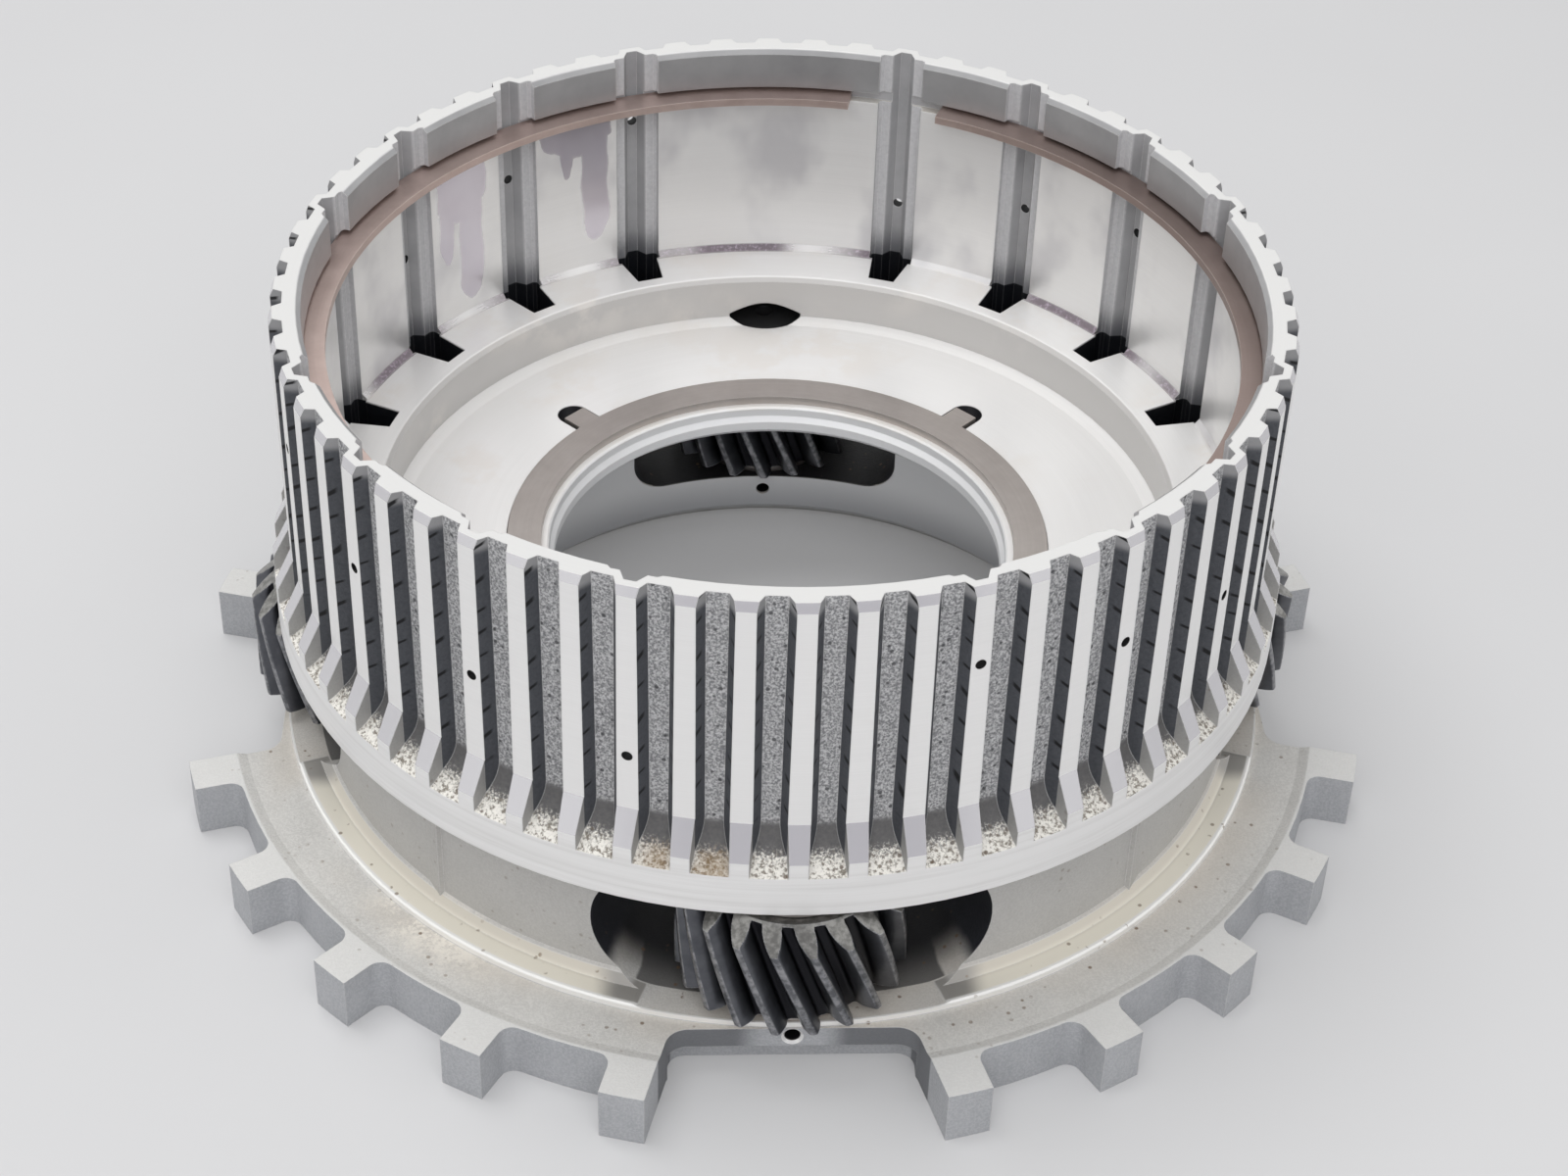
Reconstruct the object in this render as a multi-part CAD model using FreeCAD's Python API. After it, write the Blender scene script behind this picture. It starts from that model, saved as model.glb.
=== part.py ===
"""Planetary gear carrier with a clutch drum.

One aluminium die casting holds everything: a flange with drive lugs at the bottom, a wall with
four windows, a web, and a drum that is splined inside and outside. Four helical planet gears turn
on needle rollers about pins between the flange and the web. A thrust washer lies on the web and a
snap ring sits in the drum.

Millimetres. The origin is the centre of the flange's bottom face and +Z is the carrier's axis.
Angles are in degrees about +Z, from +X. Planets stand at 0, 90, 180 and 270.
"""

import FreeCAD, Part
import math
import os
from FreeCAD import Vector

# Gearing

planet_count = 4
planet_teeth = 19
sun_teeth = 63
normal_module = 1.52
helix_angle = 20.0
pressure_angle = 20.0
addendum_factor = 1.04
dedendum_factor = 1.25
tooth_thinning = 0.08
root_flare = 0.042
tooth_bevel_radial = 2.9
tooth_bevel_axial = 2.4
gear_sections = 7
root_fillet_height = 0.5

# Flange and lugs

flange_thickness = 9.1
lug_tip_radius = 95.0
lug_height = 7.1
lug_width = 6.7
lug_pitch = 15.0
lug_root_fillet = 2.2
land_slope_inset = 0.4
land_slope_width = 1.6
land_slope_drop = 0.5
gap_chord_distance = 78.75
gap_corner_fillet = 3.4
chord_rebate_depth = 2.9
chord_rebate_width = 36.0
chord_rebate_fillet = 2.6
chord_lip_thickness = 4.1
seat_ring_radius = 78.6
seat_ring_height = 1.3
seat_ring_chamfer = 0.3

# Wall and windows

wall_radius = 73.6
wall_foot = 1.6
lower_bore_radius = 53.0
lower_bore_chamfer = 3.4
lower_bore_length = 5.8
inner_wall_draft = 0.3
seam_rib_width = 3.2
seam_rib_height = 0.7
window_floor_drop = 0.3
window_height = 21.6
window_outer_half_angle = 23.2
window_inner_half_angle = 25.5
window_outer_end_flat = 0.2
window_inner_corner = 6.0

# Web

web_thickness = 6.2
web_bore_radius = 35.4
web_bore_chamfer = 1.2
web_bore_step_radius = 36.1
web_bore_step_depth = 1.6
web_bore_step_cone = 0.9
web_bore_entry_chamfer = 0.3
step_radius = 61.6
step_foot_width = 2.1
step_foot_rise = 0.6
step_chamfer = 0.8
drum_floor_rise = 8.3

# Drum

drum_height = 84.4
drum_inner_radius = 71.3
rim_inner_chamfer = 0.8
rim_outer_chamfer_radial = 0.6
rim_outer_chamfer_axial = 1.4
drum_wall = 4.7
band_height = 9.5
band_proud = 2.6
flare_height = 5.2
floor_fillet = 0.9

outer_slot_count = 60
outer_slot_depth = 2.0
outer_slot_floor_width = 3.1
outer_slot_mouth_width = 5.3
outer_slot_draft = 0.012
outer_slot_lean = 0.14
outer_slot_ramp_inset = 0.7
outer_slot_ramp_height = 7.2

inner_slot_pitch = 18.0
inner_slot_mouth_width = 7.4
inner_slot_shoulder_depth = 1.2
inner_slot_shoulder_width = 6.4
inner_slot_bevel = 0.4
inner_slot_groove_width = 3.8
inner_slot_groove_depth = 2.9
inner_slot_groove_floor = 1.7
floor_notch_reach = 7.1
floor_notch_width = 4.4
floor_notch_depth = 7.2

oil_hole_radius = 0.8
oil_holes_below_rim = (13.1, 18.3, 23.7, 29.0)

# Snap ring and its groove

snap_ring_thickness = 1.3
snap_ring_inner_radius = 68.2
snap_ring_gap = 12.6
snap_ring_gap_centre = 72.5
snap_groove_below_rim = 6.9
snap_groove_depth = 1.6
snap_groove_clearance = 0.5
snap_ring_radial_clearance = 0.1

# Thrust washer on the web

thrust_washer_thickness = 1.4
thrust_washer_set_back = 1.2
thrust_washer_outer_radius = 42.6
thrust_washer_proud = 0.4
thrust_washer_clearance = 0.15
tab_angles = (45.0, 135.0, 225.0, 315.0)
tab_width = 4.2
tab_length = 3.6
tab_side_clearance = 0.55
tab_end_clearance = 2.7

# Planet pins, rollers, washers and locking dowels

pin_radius = 7.9
pin_bore_clearance = 0.03
pin_chamfer = 0.6
pin_bottom_height = 0.8
pin_top_below_web = 1.6
pin_bore_above_web = 1.2
drill_point_angle = 118.0
pin_gallery_radius = 1.5
pin_feed_radius = 0.9
needle_radius = 1.5
needle_spacing = 0.2
needle_length = 16.0
running_clearance = 0.03
lower_washer_thickness = 2.0
upper_washer_thickness = 0.8
planet_washer_radius = 11.9
washer_bore_clearance = 0.2
planet_end_clearance = 0.15
cross_drilling_height = 6.9
cross_drilling_radius = 1.15
cross_drilling_chamfer = 0.4
dowel_clearance = 0.03
dowel_depth_in_pin = 1.6
dowel_recess = 3.0

# How far a cutting shape runs past the surface that it opens

overcut = 2.0

# Values worked out from the ones above

transverse_module = normal_module / math.cos(math.radians(helix_angle))
pitch_radius = planet_teeth * transverse_module / 2
tip_radius = pitch_radius + addendum_factor * normal_module
root_radius = pitch_radius - dedendum_factor * normal_module
centre_distance = (planet_teeth + sun_teeth) * transverse_module / 2
planet_angles = [index * 360.0 / planet_count for index in range(planet_count)]

lug_root_radius = lug_tip_radius - lug_height
plate_height = flange_thickness - land_slope_drop
seat_height = plate_height + seat_ring_height
window_floor = seat_height - window_floor_drop
web_bottom = window_floor + window_height
web_top = web_bottom + web_thickness
washer_seat = web_top + thrust_washer_proud - thrust_washer_thickness
thrust_washer_inner_radius = web_bore_step_radius + thrust_washer_set_back
tab_reach_radius = thrust_washer_outer_radius + tab_length

drum_floor = web_top + drum_floor_rise
land_radius = drum_inner_radius + drum_wall
band_radius = land_radius + band_proud
flare_bottom = web_bottom + band_height
flare_top = flare_bottom + flare_height
outer_slot_floor_radius = land_radius - outer_slot_depth
outer_slot_ramp_top = flare_top - outer_slot_ramp_inset
inner_slot_shoulder_radius = drum_inner_radius + inner_slot_shoulder_depth
inner_slot_groove_radius = drum_inner_radius + inner_slot_groove_depth
snap_groove_radius = drum_inner_radius + snap_groove_depth
snap_groove_top = drum_height - snap_groove_below_rim
snap_groove_bottom = snap_groove_top - snap_groove_clearance - snap_ring_thickness

pin_bore_radius = pin_radius + pin_bore_clearance
gear_bottom = window_floor + lower_washer_thickness + planet_end_clearance
gear_top = web_bottom - upper_washer_thickness - planet_end_clearance
gear_bore_radius = pin_radius + 2 * needle_radius + 2 * running_clearance

axis_z = Vector(0, 0, 1)
outward = Vector(1, 0, 0)
origin = Vector(0, 0, 0)


# Helpers

def turned(shape, angle):
    """A copy of the shape, turned about the carrier's axis."""
    copy = shape.copy()
    copy.rotate(origin, axis_z, angle)
    return copy


def revolved(points, angle=360.0):
    """The solid swept by a closed outline of (radius, height) points about the carrier's axis."""
    corners = [Vector(r, 0, z) for r, z in points]
    face = Part.Face(Part.makePolygon(corners + corners[:1]))
    return face.revolve(origin, axis_z, angle)


def prism(points, bottom, top):
    """An outline of (x, y) points, extruded from one height to another."""
    corners = [Vector(x, y, bottom) for x, y in points]
    face = Part.Face(Part.makePolygon(corners + corners[:1]))
    return face.extrude(Vector(0, 0, top - bottom))


def ring(inner, outer, bottom, top):
    """A plain ring about the carrier's axis."""
    return revolved([(inner, bottom), (outer, bottom), (outer, top), (inner, top)])


def mirrored_outline(half):
    """A closed outline from one side's (x, y) points, mirrored across the x axis."""
    return half + [(x, -y) for x, y in reversed(half)]


def rounded_upright_edges(solid, radius, places):
    """The solid with its upright edges filleted at the given (x, y) places."""
    def is_chosen(edge):
        ends = [vertex.Point for vertex in edge.Vertexes]
        if len(ends) != 2 or abs(ends[0].z - ends[1].z) < 1:
            return False
        return any(math.hypot(ends[0].x - x, ends[0].y - y) < 0.01 for x, y in places)
    return solid.makeFillet(radius, [edge for edge in solid.Edges if is_chosen(edge)])


def lug_side(angle, side, radius):
    """A point on a lug's side face, where it meets the circle of that radius."""
    offset = side * lug_width / 2
    along = math.sqrt(radius ** 2 - offset ** 2)
    a = math.radians(angle)
    return (along * math.cos(a) - offset * math.sin(a), along * math.sin(a) + offset * math.cos(a))


# The casting's turned form

def casting_blank():
    """The casting as it would be turned, with no slot, window or hole."""
    land_slope_outer = lug_root_radius - land_slope_inset
    washer_recess = thrust_washer_outer_radius + thrust_washer_clearance
    step_bottom = washer_seat - web_bore_step_depth
    return revolved([
        (lower_bore_radius + lower_bore_chamfer, 0),
        (lug_tip_radius, 0),
        (lug_tip_radius, flange_thickness),
        (land_slope_outer, flange_thickness),
        (land_slope_outer - land_slope_width, plate_height),
        (seat_ring_radius, plate_height),
        (seat_ring_radius, seat_height - seat_ring_chamfer),
        (seat_ring_radius - seat_ring_chamfer, seat_height),
        (wall_radius + wall_foot, seat_height),
        (wall_radius, seat_height + wall_foot),
        (wall_radius, web_bottom),
        (band_radius, web_bottom),
        (band_radius, flare_bottom),
        (land_radius, flare_top),
        (land_radius, drum_height - rim_outer_chamfer_axial),
        (land_radius - rim_outer_chamfer_radial, drum_height),
        (drum_inner_radius + rim_inner_chamfer, drum_height),
        (drum_inner_radius, drum_height - rim_inner_chamfer),
        (drum_inner_radius, snap_groove_top),
        (snap_groove_radius, snap_groove_top),
        (snap_groove_radius, snap_groove_bottom),
        (drum_inner_radius, snap_groove_bottom),
        (drum_inner_radius, drum_floor + floor_fillet),
        (drum_inner_radius - floor_fillet, drum_floor),
        (step_radius + step_chamfer, drum_floor),
        (step_radius, drum_floor - step_chamfer),
        (step_radius, web_top + step_foot_rise),
        (step_radius - step_foot_width, web_top),
        (washer_recess, web_top),
        (washer_recess, washer_seat),
        (web_bore_step_radius + web_bore_entry_chamfer, washer_seat),
        (web_bore_step_radius, washer_seat - web_bore_entry_chamfer),
        (web_bore_step_radius, step_bottom),
        (web_bore_radius, step_bottom - web_bore_step_cone),
        (web_bore_radius, web_bottom + web_bore_chamfer),
        (web_bore_radius + web_bore_chamfer, web_bottom),
        (lower_bore_radius - inner_wall_draft, web_bottom),
        (lower_bore_radius, lower_bore_chamfer + lower_bore_length),
        (lower_bore_radius, lower_bore_chamfer),
    ])


def seam_rib(steep_side):
    """The ridge where two slides of the die met on the wall, at angle 0, steep on one side."""
    half = seam_rib_width / 2
    crest = steep_side * half * 0.8
    outline = [
        (wall_radius - overcut, -half),
        (wall_radius, -half),
        (wall_radius + seam_rib_height, crest),
        (wall_radius, half),
        (wall_radius - overcut, half),
    ]
    return prism(outline, seat_height - overcut, web_bottom + overcut)


def seam_ribs():
    """Four ridges half way between the planets, with their steep sides towards planets 2 and 4."""
    half_spacing = 180.0 / planet_count
    return [
        turned(seam_rib(1 if index % 2 == 0 else -1), angle + half_spacing)
        for index, angle in enumerate(planet_angles)
    ]


# Cuts in the flange

def narrow_lug_gap(angle):
    """The cut between two lugs one pitch apart, with an arc for its floor and rounded corners."""
    outer = lug_tip_radius + overcut
    middle = math.radians(angle + lug_pitch / 2)
    x = lug_root_radius * math.cos(middle)
    y = lug_root_radius * math.sin(middle)
    floor_middle = Vector(x, y, -overcut)
    first_inner = lug_side(angle, 1, lug_root_radius)
    last_inner = lug_side(angle + lug_pitch, -1, lug_root_radius)
    first_outer = lug_side(angle, 1, outer)
    last_outer = lug_side(angle + lug_pitch, -1, outer)
    corners = (first_outer, first_inner, last_inner, last_outer)
    a, b, c, d = [Vector(x, y, -overcut) for x, y in corners]
    edges = [
        Part.makeLine(a, b),
        Part.Arc(b, floor_middle, c).toShape(),
        Part.makeLine(c, d),
        Part.makeLine(d, a),
    ]
    tool = Part.Face(Part.Wire(edges)).extrude(Vector(0, 0, flange_thickness + 2 * overcut))
    return rounded_upright_edges(tool, lug_root_fillet, [first_inner, last_inner])


def wide_lug_gap():
    """The cut at a planet, down to a straight chord, in the place of a lug at angle 0."""
    a = math.radians(lug_pitch)
    outer = lug_tip_radius / math.cos(a) + overcut
    along = (gap_chord_distance - lug_width / 2 * math.sin(a)) / math.cos(a)
    chord_end = along * math.sin(a) - lug_width / 2 * math.cos(a)
    outer_end = lug_side(lug_pitch, -1, outer)
    half = [(gap_chord_distance, chord_end), outer_end]
    tool = prism(mirrored_outline(half), -overcut, flange_thickness + overcut)
    corners = [(gap_chord_distance, chord_end), (gap_chord_distance, -chord_end)]
    return rounded_upright_edges(tool, gap_corner_fillet, corners)


def chord_rebate():
    """The relief under the lip of a wide gap, at angle 0."""
    lip_bottom = flange_thickness - chord_lip_thickness
    inner = gap_chord_distance - chord_rebate_depth
    half_width = chord_rebate_width / 2
    half = [(inner, half_width), (gap_chord_distance + overcut, half_width)]
    tool = prism(mirrored_outline(half), -overcut, lip_bottom)
    corners = [(inner, half_width), (inner, -half_width)]
    return rounded_upright_edges(tool, chord_rebate_fillet, corners)


def flange_cuts():
    lugs_per_quarter = round(90 / lug_pitch) - 1
    cuts = []
    for quarter in planet_angles:
        for index in range(1, lugs_per_quarter):
            cuts.append(narrow_lug_gap(quarter + index * lug_pitch))
        cuts.append(turned(wide_lug_gap(), quarter))
        cuts.append(turned(chord_rebate(), quarter))
    return cuts


# Cuts in the wall and the web

def window_outline(x, half_width, corner):
    """A window's outline where it crosses the plane at x, as a rectangle with round corners."""
    middle = (window_floor + web_bottom) / 2
    half_height = window_height / 2
    near = half_width - corner
    low = half_height - corner
    lean = corner * math.sqrt(0.5)
    arcs = [
        [(half_width, low), (near + lean, low + lean), (near, half_height)],
        [(-near, half_height), (-near - lean, low + lean), (-half_width, low)],
        [(-half_width, -low), (-near - lean, -low - lean), (-near, -half_height)],
        [(near, -half_height), (near + lean, -low - lean), (half_width, -low)],
    ]
    edges = []
    for index, arc in enumerate(arcs):
        start, turn, end = [Vector(x, y, middle + z) for y, z in arc]
        next_y, next_z = arcs[(index + 1) % len(arcs)][0]
        edges.append(Part.Arc(start, turn, end).toShape())
        edges.append(Part.makeLine(end, Vector(x, next_y, middle + next_z)))
    return Part.Wire(edges)


def window():
    """The space for one planet, about angle 0. It widens outwards to full round ends."""
    inner_angle = math.radians(window_inner_half_angle)
    outer_angle = math.radians(window_outer_half_angle)
    inner_x = lower_bore_radius * math.cos(inner_angle)
    inner_y = lower_bore_radius * math.sin(inner_angle)
    outer_x = wall_radius * math.cos(outer_angle)
    outer_y = wall_radius * math.sin(outer_angle)
    slope = (outer_y - inner_y) / (outer_x - inner_x)
    full_round = (window_height - window_outer_end_flat) / 2
    start = inner_x - 2 * overcut
    end = seat_ring_radius + overcut
    outlines = [
        window_outline(start, inner_y - slope * (inner_x - start), window_inner_corner),
        window_outline(inner_x, inner_y, window_inner_corner),
        window_outline(outer_x, outer_y, full_round),
        window_outline(end, outer_y + slope * (end - outer_x), full_round),
    ]
    return Part.makeLoft(outlines, True, True)


def pin_bore():
    """A blind bore from below for one planet pin, with a drill point, at angle 0."""
    straight = web_top + pin_bore_above_web
    point = pin_bore_radius / math.tan(math.radians(drill_point_angle / 2))
    start = Vector(centre_distance, 0, -overcut)
    bore = Part.makeCylinder(pin_bore_radius, straight + overcut, start)
    cone = Part.makeCone(pin_bore_radius, 0, point, Vector(centre_distance, 0, straight))
    return bore.fuse(cone)


def cross_drilling():
    """The radial drilling through the flange at one planet pin, chamfered at its mouth."""
    start = Vector(lower_bore_radius - overcut, 0, cross_drilling_height)
    length = gap_chord_distance + overcut - start.x
    hole = Part.makeCylinder(cross_drilling_radius, length, start, outward)
    mouth = Part.makeCone(
        cross_drilling_radius,
        cross_drilling_radius + 2 * cross_drilling_chamfer,
        2 * cross_drilling_chamfer,
        Vector(gap_chord_distance - cross_drilling_chamfer, 0, cross_drilling_height),
        outward,
    )
    return hole.fuse(mouth)


def radial_bar(width, reach, bottom, top):
    """A bar at angle 0, from inside the thrust washer's edge out to a radius."""
    start = thrust_washer_outer_radius - overcut
    return Part.makeBox(reach - start, width, top - bottom, Vector(start, -width / 2, bottom))


def tab_slot():
    """The slot through the web for one of the thrust washer's tabs, with a round end."""
    radius = tab_width / 2 + tab_side_clearance
    centre = tab_reach_radius + tab_end_clearance - radius
    bottom = web_bottom - overcut
    top = web_top + overcut
    end = Part.makeCylinder(radius, top - bottom, Vector(centre, 0, bottom))
    return end.fuse(radial_bar(2 * radius, centre, bottom, top))


def web_cuts():
    cuts = []
    for angle in planet_angles:
        cuts += [turned(tool, angle) for tool in (window(), pin_bore(), cross_drilling())]
    cuts += [turned(tab_slot(), angle) for angle in tab_angles]
    return cuts


# Cuts in the drum

def slot_side_view():
    """An outer slot from the side: straight down its floor, then out along a disc cutter's arc."""
    fall = outer_slot_ramp_height
    rise = band_radius - outer_slot_floor_radius
    cutter_radius = (fall ** 2 + rise ** 2) / (2 * rise)
    cutter_centre = outer_slot_floor_radius + cutter_radius
    outer = band_radius + overcut
    sweep = math.acos((cutter_centre - outer) / cutter_radius)
    top = drum_height + overcut
    side = -outer_slot_mouth_width

    def on_arc(angle):
        return Vector(
            cutter_centre - cutter_radius * math.cos(angle),
            side,
            outer_slot_ramp_top - cutter_radius * math.sin(angle),
        )
    edges = [
        Part.Arc(on_arc(0), on_arc(sweep / 2), on_arc(sweep)).toShape(),
        Part.makeLine(on_arc(sweep), Vector(outer, side, top)),
        Part.makeLine(Vector(outer, side, top), Vector(outer_slot_floor_radius, side, top)),
        Part.makeLine(Vector(outer_slot_floor_radius, side, top), on_arc(0)),
    ]
    return Part.Face(Part.Wire(edges)).extrude(Vector(0, -2 * side, 0))


def slot_plan(height):
    """An outer slot's outline at one height. It narrows downwards and leans apart past the lands."""
    narrowing = (drum_height - height) * outer_slot_draft / 2
    reach = band_radius + overcut
    half_mouth = outer_slot_mouth_width / 2 - narrowing
    half = [
        (outer_slot_floor_radius, outer_slot_floor_width / 2 - narrowing),
        (land_radius, half_mouth),
        (reach, half_mouth + (reach - land_radius) * outer_slot_lean),
    ]
    corners = [Vector(x, y, height) for x, y in mirrored_outline(half)]
    return Part.makePolygon(corners + corners[:1])


def outer_slot():
    """One slot between two lands, at angle 0, as a cutter of its section leaves it."""
    plan = Part.makeLoft([slot_plan(web_bottom), slot_plan(drum_height + overcut)], True, True)
    return slot_side_view().common(plan)


def inner_slot():
    """One slot down the drum's inside at angle 0, with its notch in the drum's floor."""
    bottom = drum_floor - floor_notch_depth
    half_mouth = inner_slot_mouth_width / 2
    half_shoulder = inner_slot_shoulder_width / 2
    half = [
        (drum_inner_radius - floor_fillet, half_mouth),
        (inner_slot_shoulder_radius - inner_slot_bevel, half_mouth),
        (inner_slot_shoulder_radius, half_shoulder),
        (inner_slot_shoulder_radius, inner_slot_groove_width / 2),
        (inner_slot_groove_radius, inner_slot_groove_floor / 2),
    ]
    slot = prism(mirrored_outline(half), bottom, drum_height + overcut)
    notch_half = [
        (drum_inner_radius - floor_notch_reach, floor_notch_width / 2),
        (drum_inner_radius, half_mouth - inner_slot_bevel),
    ]
    notch = prism(mirrored_outline(notch_half), bottom, drum_floor + overcut)
    return slot.fuse(notch)


def inner_slot_angles():
    """The angle of each inner slot. None stands over a planet."""
    count = round(360 / inner_slot_pitch)
    return [k * inner_slot_pitch for k in range(count) if (k * inner_slot_pitch) % 90 != 0]


def oil_hole(angle):
    """The radial hole through one inner slot and its land. Four heights step down each quarter."""
    step = round((angle % 90) / inner_slot_pitch) - 1
    height = drum_height - oil_holes_below_rim[step]
    start = Vector(drum_inner_radius - overcut, 0, height)
    length = land_radius + overcut - start.x
    hole = Part.makeCylinder(oil_hole_radius, length, start, outward)
    return turned(hole, angle)


def drum_cuts():
    slot_pitch = 360.0 / outer_slot_count
    cuts = [turned(outer_slot(), (index + 0.5) * slot_pitch) for index in range(outer_slot_count)]
    for angle in inner_slot_angles():
        cuts.append(turned(inner_slot(), angle))
        cuts.append(oil_hole(angle))
    return cuts


def casting():
    solid = casting_blank().fuse(seam_ribs())
    for cuts in (flange_cuts(), web_cuts(), drum_cuts()):
        solid = solid.cut(cuts)
    return solid


# Planet gear

def involute(angle):
    return math.tan(angle) - angle


def tooth_half_angle(radius):
    """Half the angle that a tooth spans at a radius, in radians."""
    transverse_pressure = math.atan(
        math.tan(math.radians(pressure_angle)) / math.cos(math.radians(helix_angle))
    )
    base_radius = pitch_radius * math.cos(transverse_pressure)
    at_pitch = (math.pi * transverse_module / 2 - tooth_thinning) / (2 * pitch_radius)
    at_base = at_pitch + involute(transverse_pressure)
    if radius <= base_radius:
        return at_base
    return at_base - involute(math.acos(base_radius / radius))


def tooth_flank():
    """Points of one flank from root to tip, as (radius, angle from the tooth's middle)."""
    fillet_top = root_radius + root_fillet_height
    flank = [(root_radius, tooth_half_angle(root_radius) + root_flare)]
    for radius in (fillet_top, pitch_radius, tip_radius):
        flank.append((radius, tooth_half_angle(radius)))
    return flank


def polar_point(radius, angle, height):
    return Vector(radius * math.cos(angle), radius * math.sin(angle), height)


def gear_outline(height, twist):
    """The gear's whole outline at one height. Each flank follows the involute in three steps."""
    corners = []
    pitch = 2 * math.pi / planet_teeth
    flank = tooth_flank()
    for tooth in range(planet_teeth):
        middle = (tooth + 0.5) * pitch + math.radians(twist)
        corners += [polar_point(r, middle - a, height) for r, a in flank]
        corners += [polar_point(r, middle + a, height) for r, a in reversed(flank)]
    return Part.makePolygon(corners + corners[:1])


def planet_gear():
    """One left hand helical gear on its own axis, with a bore. Its teeth are bevelled at the top."""
    width = gear_top - gear_bottom
    full_twist = math.degrees(width * math.tan(math.radians(helix_angle)) / pitch_radius)
    outlines = []
    for index in range(gear_sections):
        share = index / (gear_sections - 1)
        outlines.append(gear_outline(gear_bottom + share * width, -share * full_twist))
    toothed = Part.makeLoft(outlines, True, False)
    bevel_radius = tip_radius - tooth_bevel_radial
    outer = tip_radius + overcut
    bevel_slope = tooth_bevel_axial / tooth_bevel_radial
    blank = revolved([
        (gear_bore_radius, gear_bottom),
        (outer, gear_bottom),
        (outer, gear_top - (outer - bevel_radius) * bevel_slope),
        (bevel_radius, gear_top),
        (gear_bore_radius, gear_top),
    ])
    return toothed.common(blank)


# Planet pin and what goes on it

def planet_pin():
    """The pin at angle 0, with its oil gallery, its two oil holes and the hole for its dowel."""
    top = web_top - pin_top_below_web
    c = pin_chamfer
    pin = revolved([
        (0, pin_bottom_height),
        (pin_radius - c, pin_bottom_height),
        (pin_radius, pin_bottom_height + c),
        (pin_radius, top - c),
        (pin_radius - c, top),
        (0, top),
    ])
    gallery_start = Vector(0, 0, cross_drilling_height - pin_gallery_radius)
    gallery = Part.makeCylinder(pin_gallery_radius, top, gallery_start)
    reach = pin_radius + overcut
    middle = (gear_bottom + gear_top) / 2
    feed = Part.makeCylinder(pin_feed_radius, reach, Vector(0, 0, cross_drilling_height), -outward)
    outlet = Part.makeCylinder(pin_feed_radius, reach, Vector(0, 0, middle), outward)
    socket_start = Vector(pin_radius - dowel_depth_in_pin, 0, cross_drilling_height)
    socket = Part.makeCylinder(cross_drilling_radius, reach, socket_start, outward)
    return at_planet(pin.cut([gallery, feed, outlet, socket]))


def at_planet(shape):
    """The shape moved from the carrier's axis to the pin's axis at angle 0."""
    copy = shape.copy()
    copy.translate(Vector(centre_distance, 0, 0))
    return copy


def needle_rollers():
    """A full set of separate rollers round the pin."""
    orbit = pin_radius + needle_radius + running_clearance
    share = math.asin((needle_radius + needle_spacing / 2) / orbit)
    count = math.floor(math.pi / share)
    bottom = (gear_bottom + gear_top - needle_length) / 2
    roller = Part.makeCylinder(needle_radius, needle_length, Vector(orbit, 0, bottom))
    rollers = [turned(roller, index * 360.0 / count) for index in range(count)]
    return at_planet(Part.makeCompound(rollers))


def planet_washer(bottom, top):
    inner = pin_radius + washer_bore_clearance
    return at_planet(ring(inner, planet_washer_radius, bottom, top))


def pin_dowel():
    """The dowel that locks a pin, driven in from the flange's chord, at angle 0."""
    inner = centre_distance + pin_radius - dowel_depth_in_pin + dowel_clearance
    outer = gap_chord_distance - dowel_recess
    start = Vector(inner, 0, cross_drilling_height)
    return Part.makeCylinder(cross_drilling_radius - dowel_clearance, outer - inner, start, outward)


# Thrust washer and snap ring

def thrust_washer():
    """A flat ring with tabs that keep it from turning on the web."""
    bottom = washer_seat
    top = washer_seat + thrust_washer_thickness
    washer = ring(thrust_washer_inner_radius, thrust_washer_outer_radius, bottom, top)
    tab = radial_bar(tab_width, tab_reach_radius, bottom, top)
    return washer.fuse([turned(tab, angle) for angle in tab_angles]).removeSplitter()


def snap_ring():
    """A flat split ring in the drum's groove."""
    inner = snap_ring_inner_radius
    outer = snap_groove_radius - snap_ring_radial_clearance
    bottom = snap_groove_bottom
    top = bottom + snap_ring_thickness
    outline = [(inner, bottom), (outer, bottom), (outer, top), (inner, top)]
    split = revolved(outline, 360.0 - snap_ring_gap)
    return turned(split, snap_ring_gap_centre + snap_ring_gap / 2)


# Writing the pieces

def write(name, shape):
    shape.exportStep("parts/" + name + ".step")


os.makedirs("parts", exist_ok=True)
write("carrier_drum", casting())
write("snap_ring", snap_ring())
write("thrust_washer", thrust_washer())

gear = at_planet(planet_gear())
for number, angle in enumerate(planet_angles, start=1):
    write("planet_gear_%d" % number, turned(gear, angle))
    write("planet_pin_%d" % number, turned(planet_pin(), angle))
    write("needle_rollers_%d" % number, turned(needle_rollers(), angle))
    lower_washer = planet_washer(window_floor, window_floor + lower_washer_thickness)
    upper_washer = planet_washer(web_bottom - upper_washer_thickness, web_bottom)
    write("planet_washer_lower_%d" % number, turned(lower_washer, angle))
    write("planet_washer_upper_%d" % number, turned(upper_washer, angle))
    write("pin_dowel_%d" % number, turned(pin_dowel(), angle))
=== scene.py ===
"""Looks of a planetary gear carrier with a clutch drum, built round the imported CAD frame.

Metres throughout, in the frame's own axes: +Z is the carrier's axis, and the photograph looks
along +Y from above. Inside the materials, lengths are in millimetres.
"""

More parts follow.
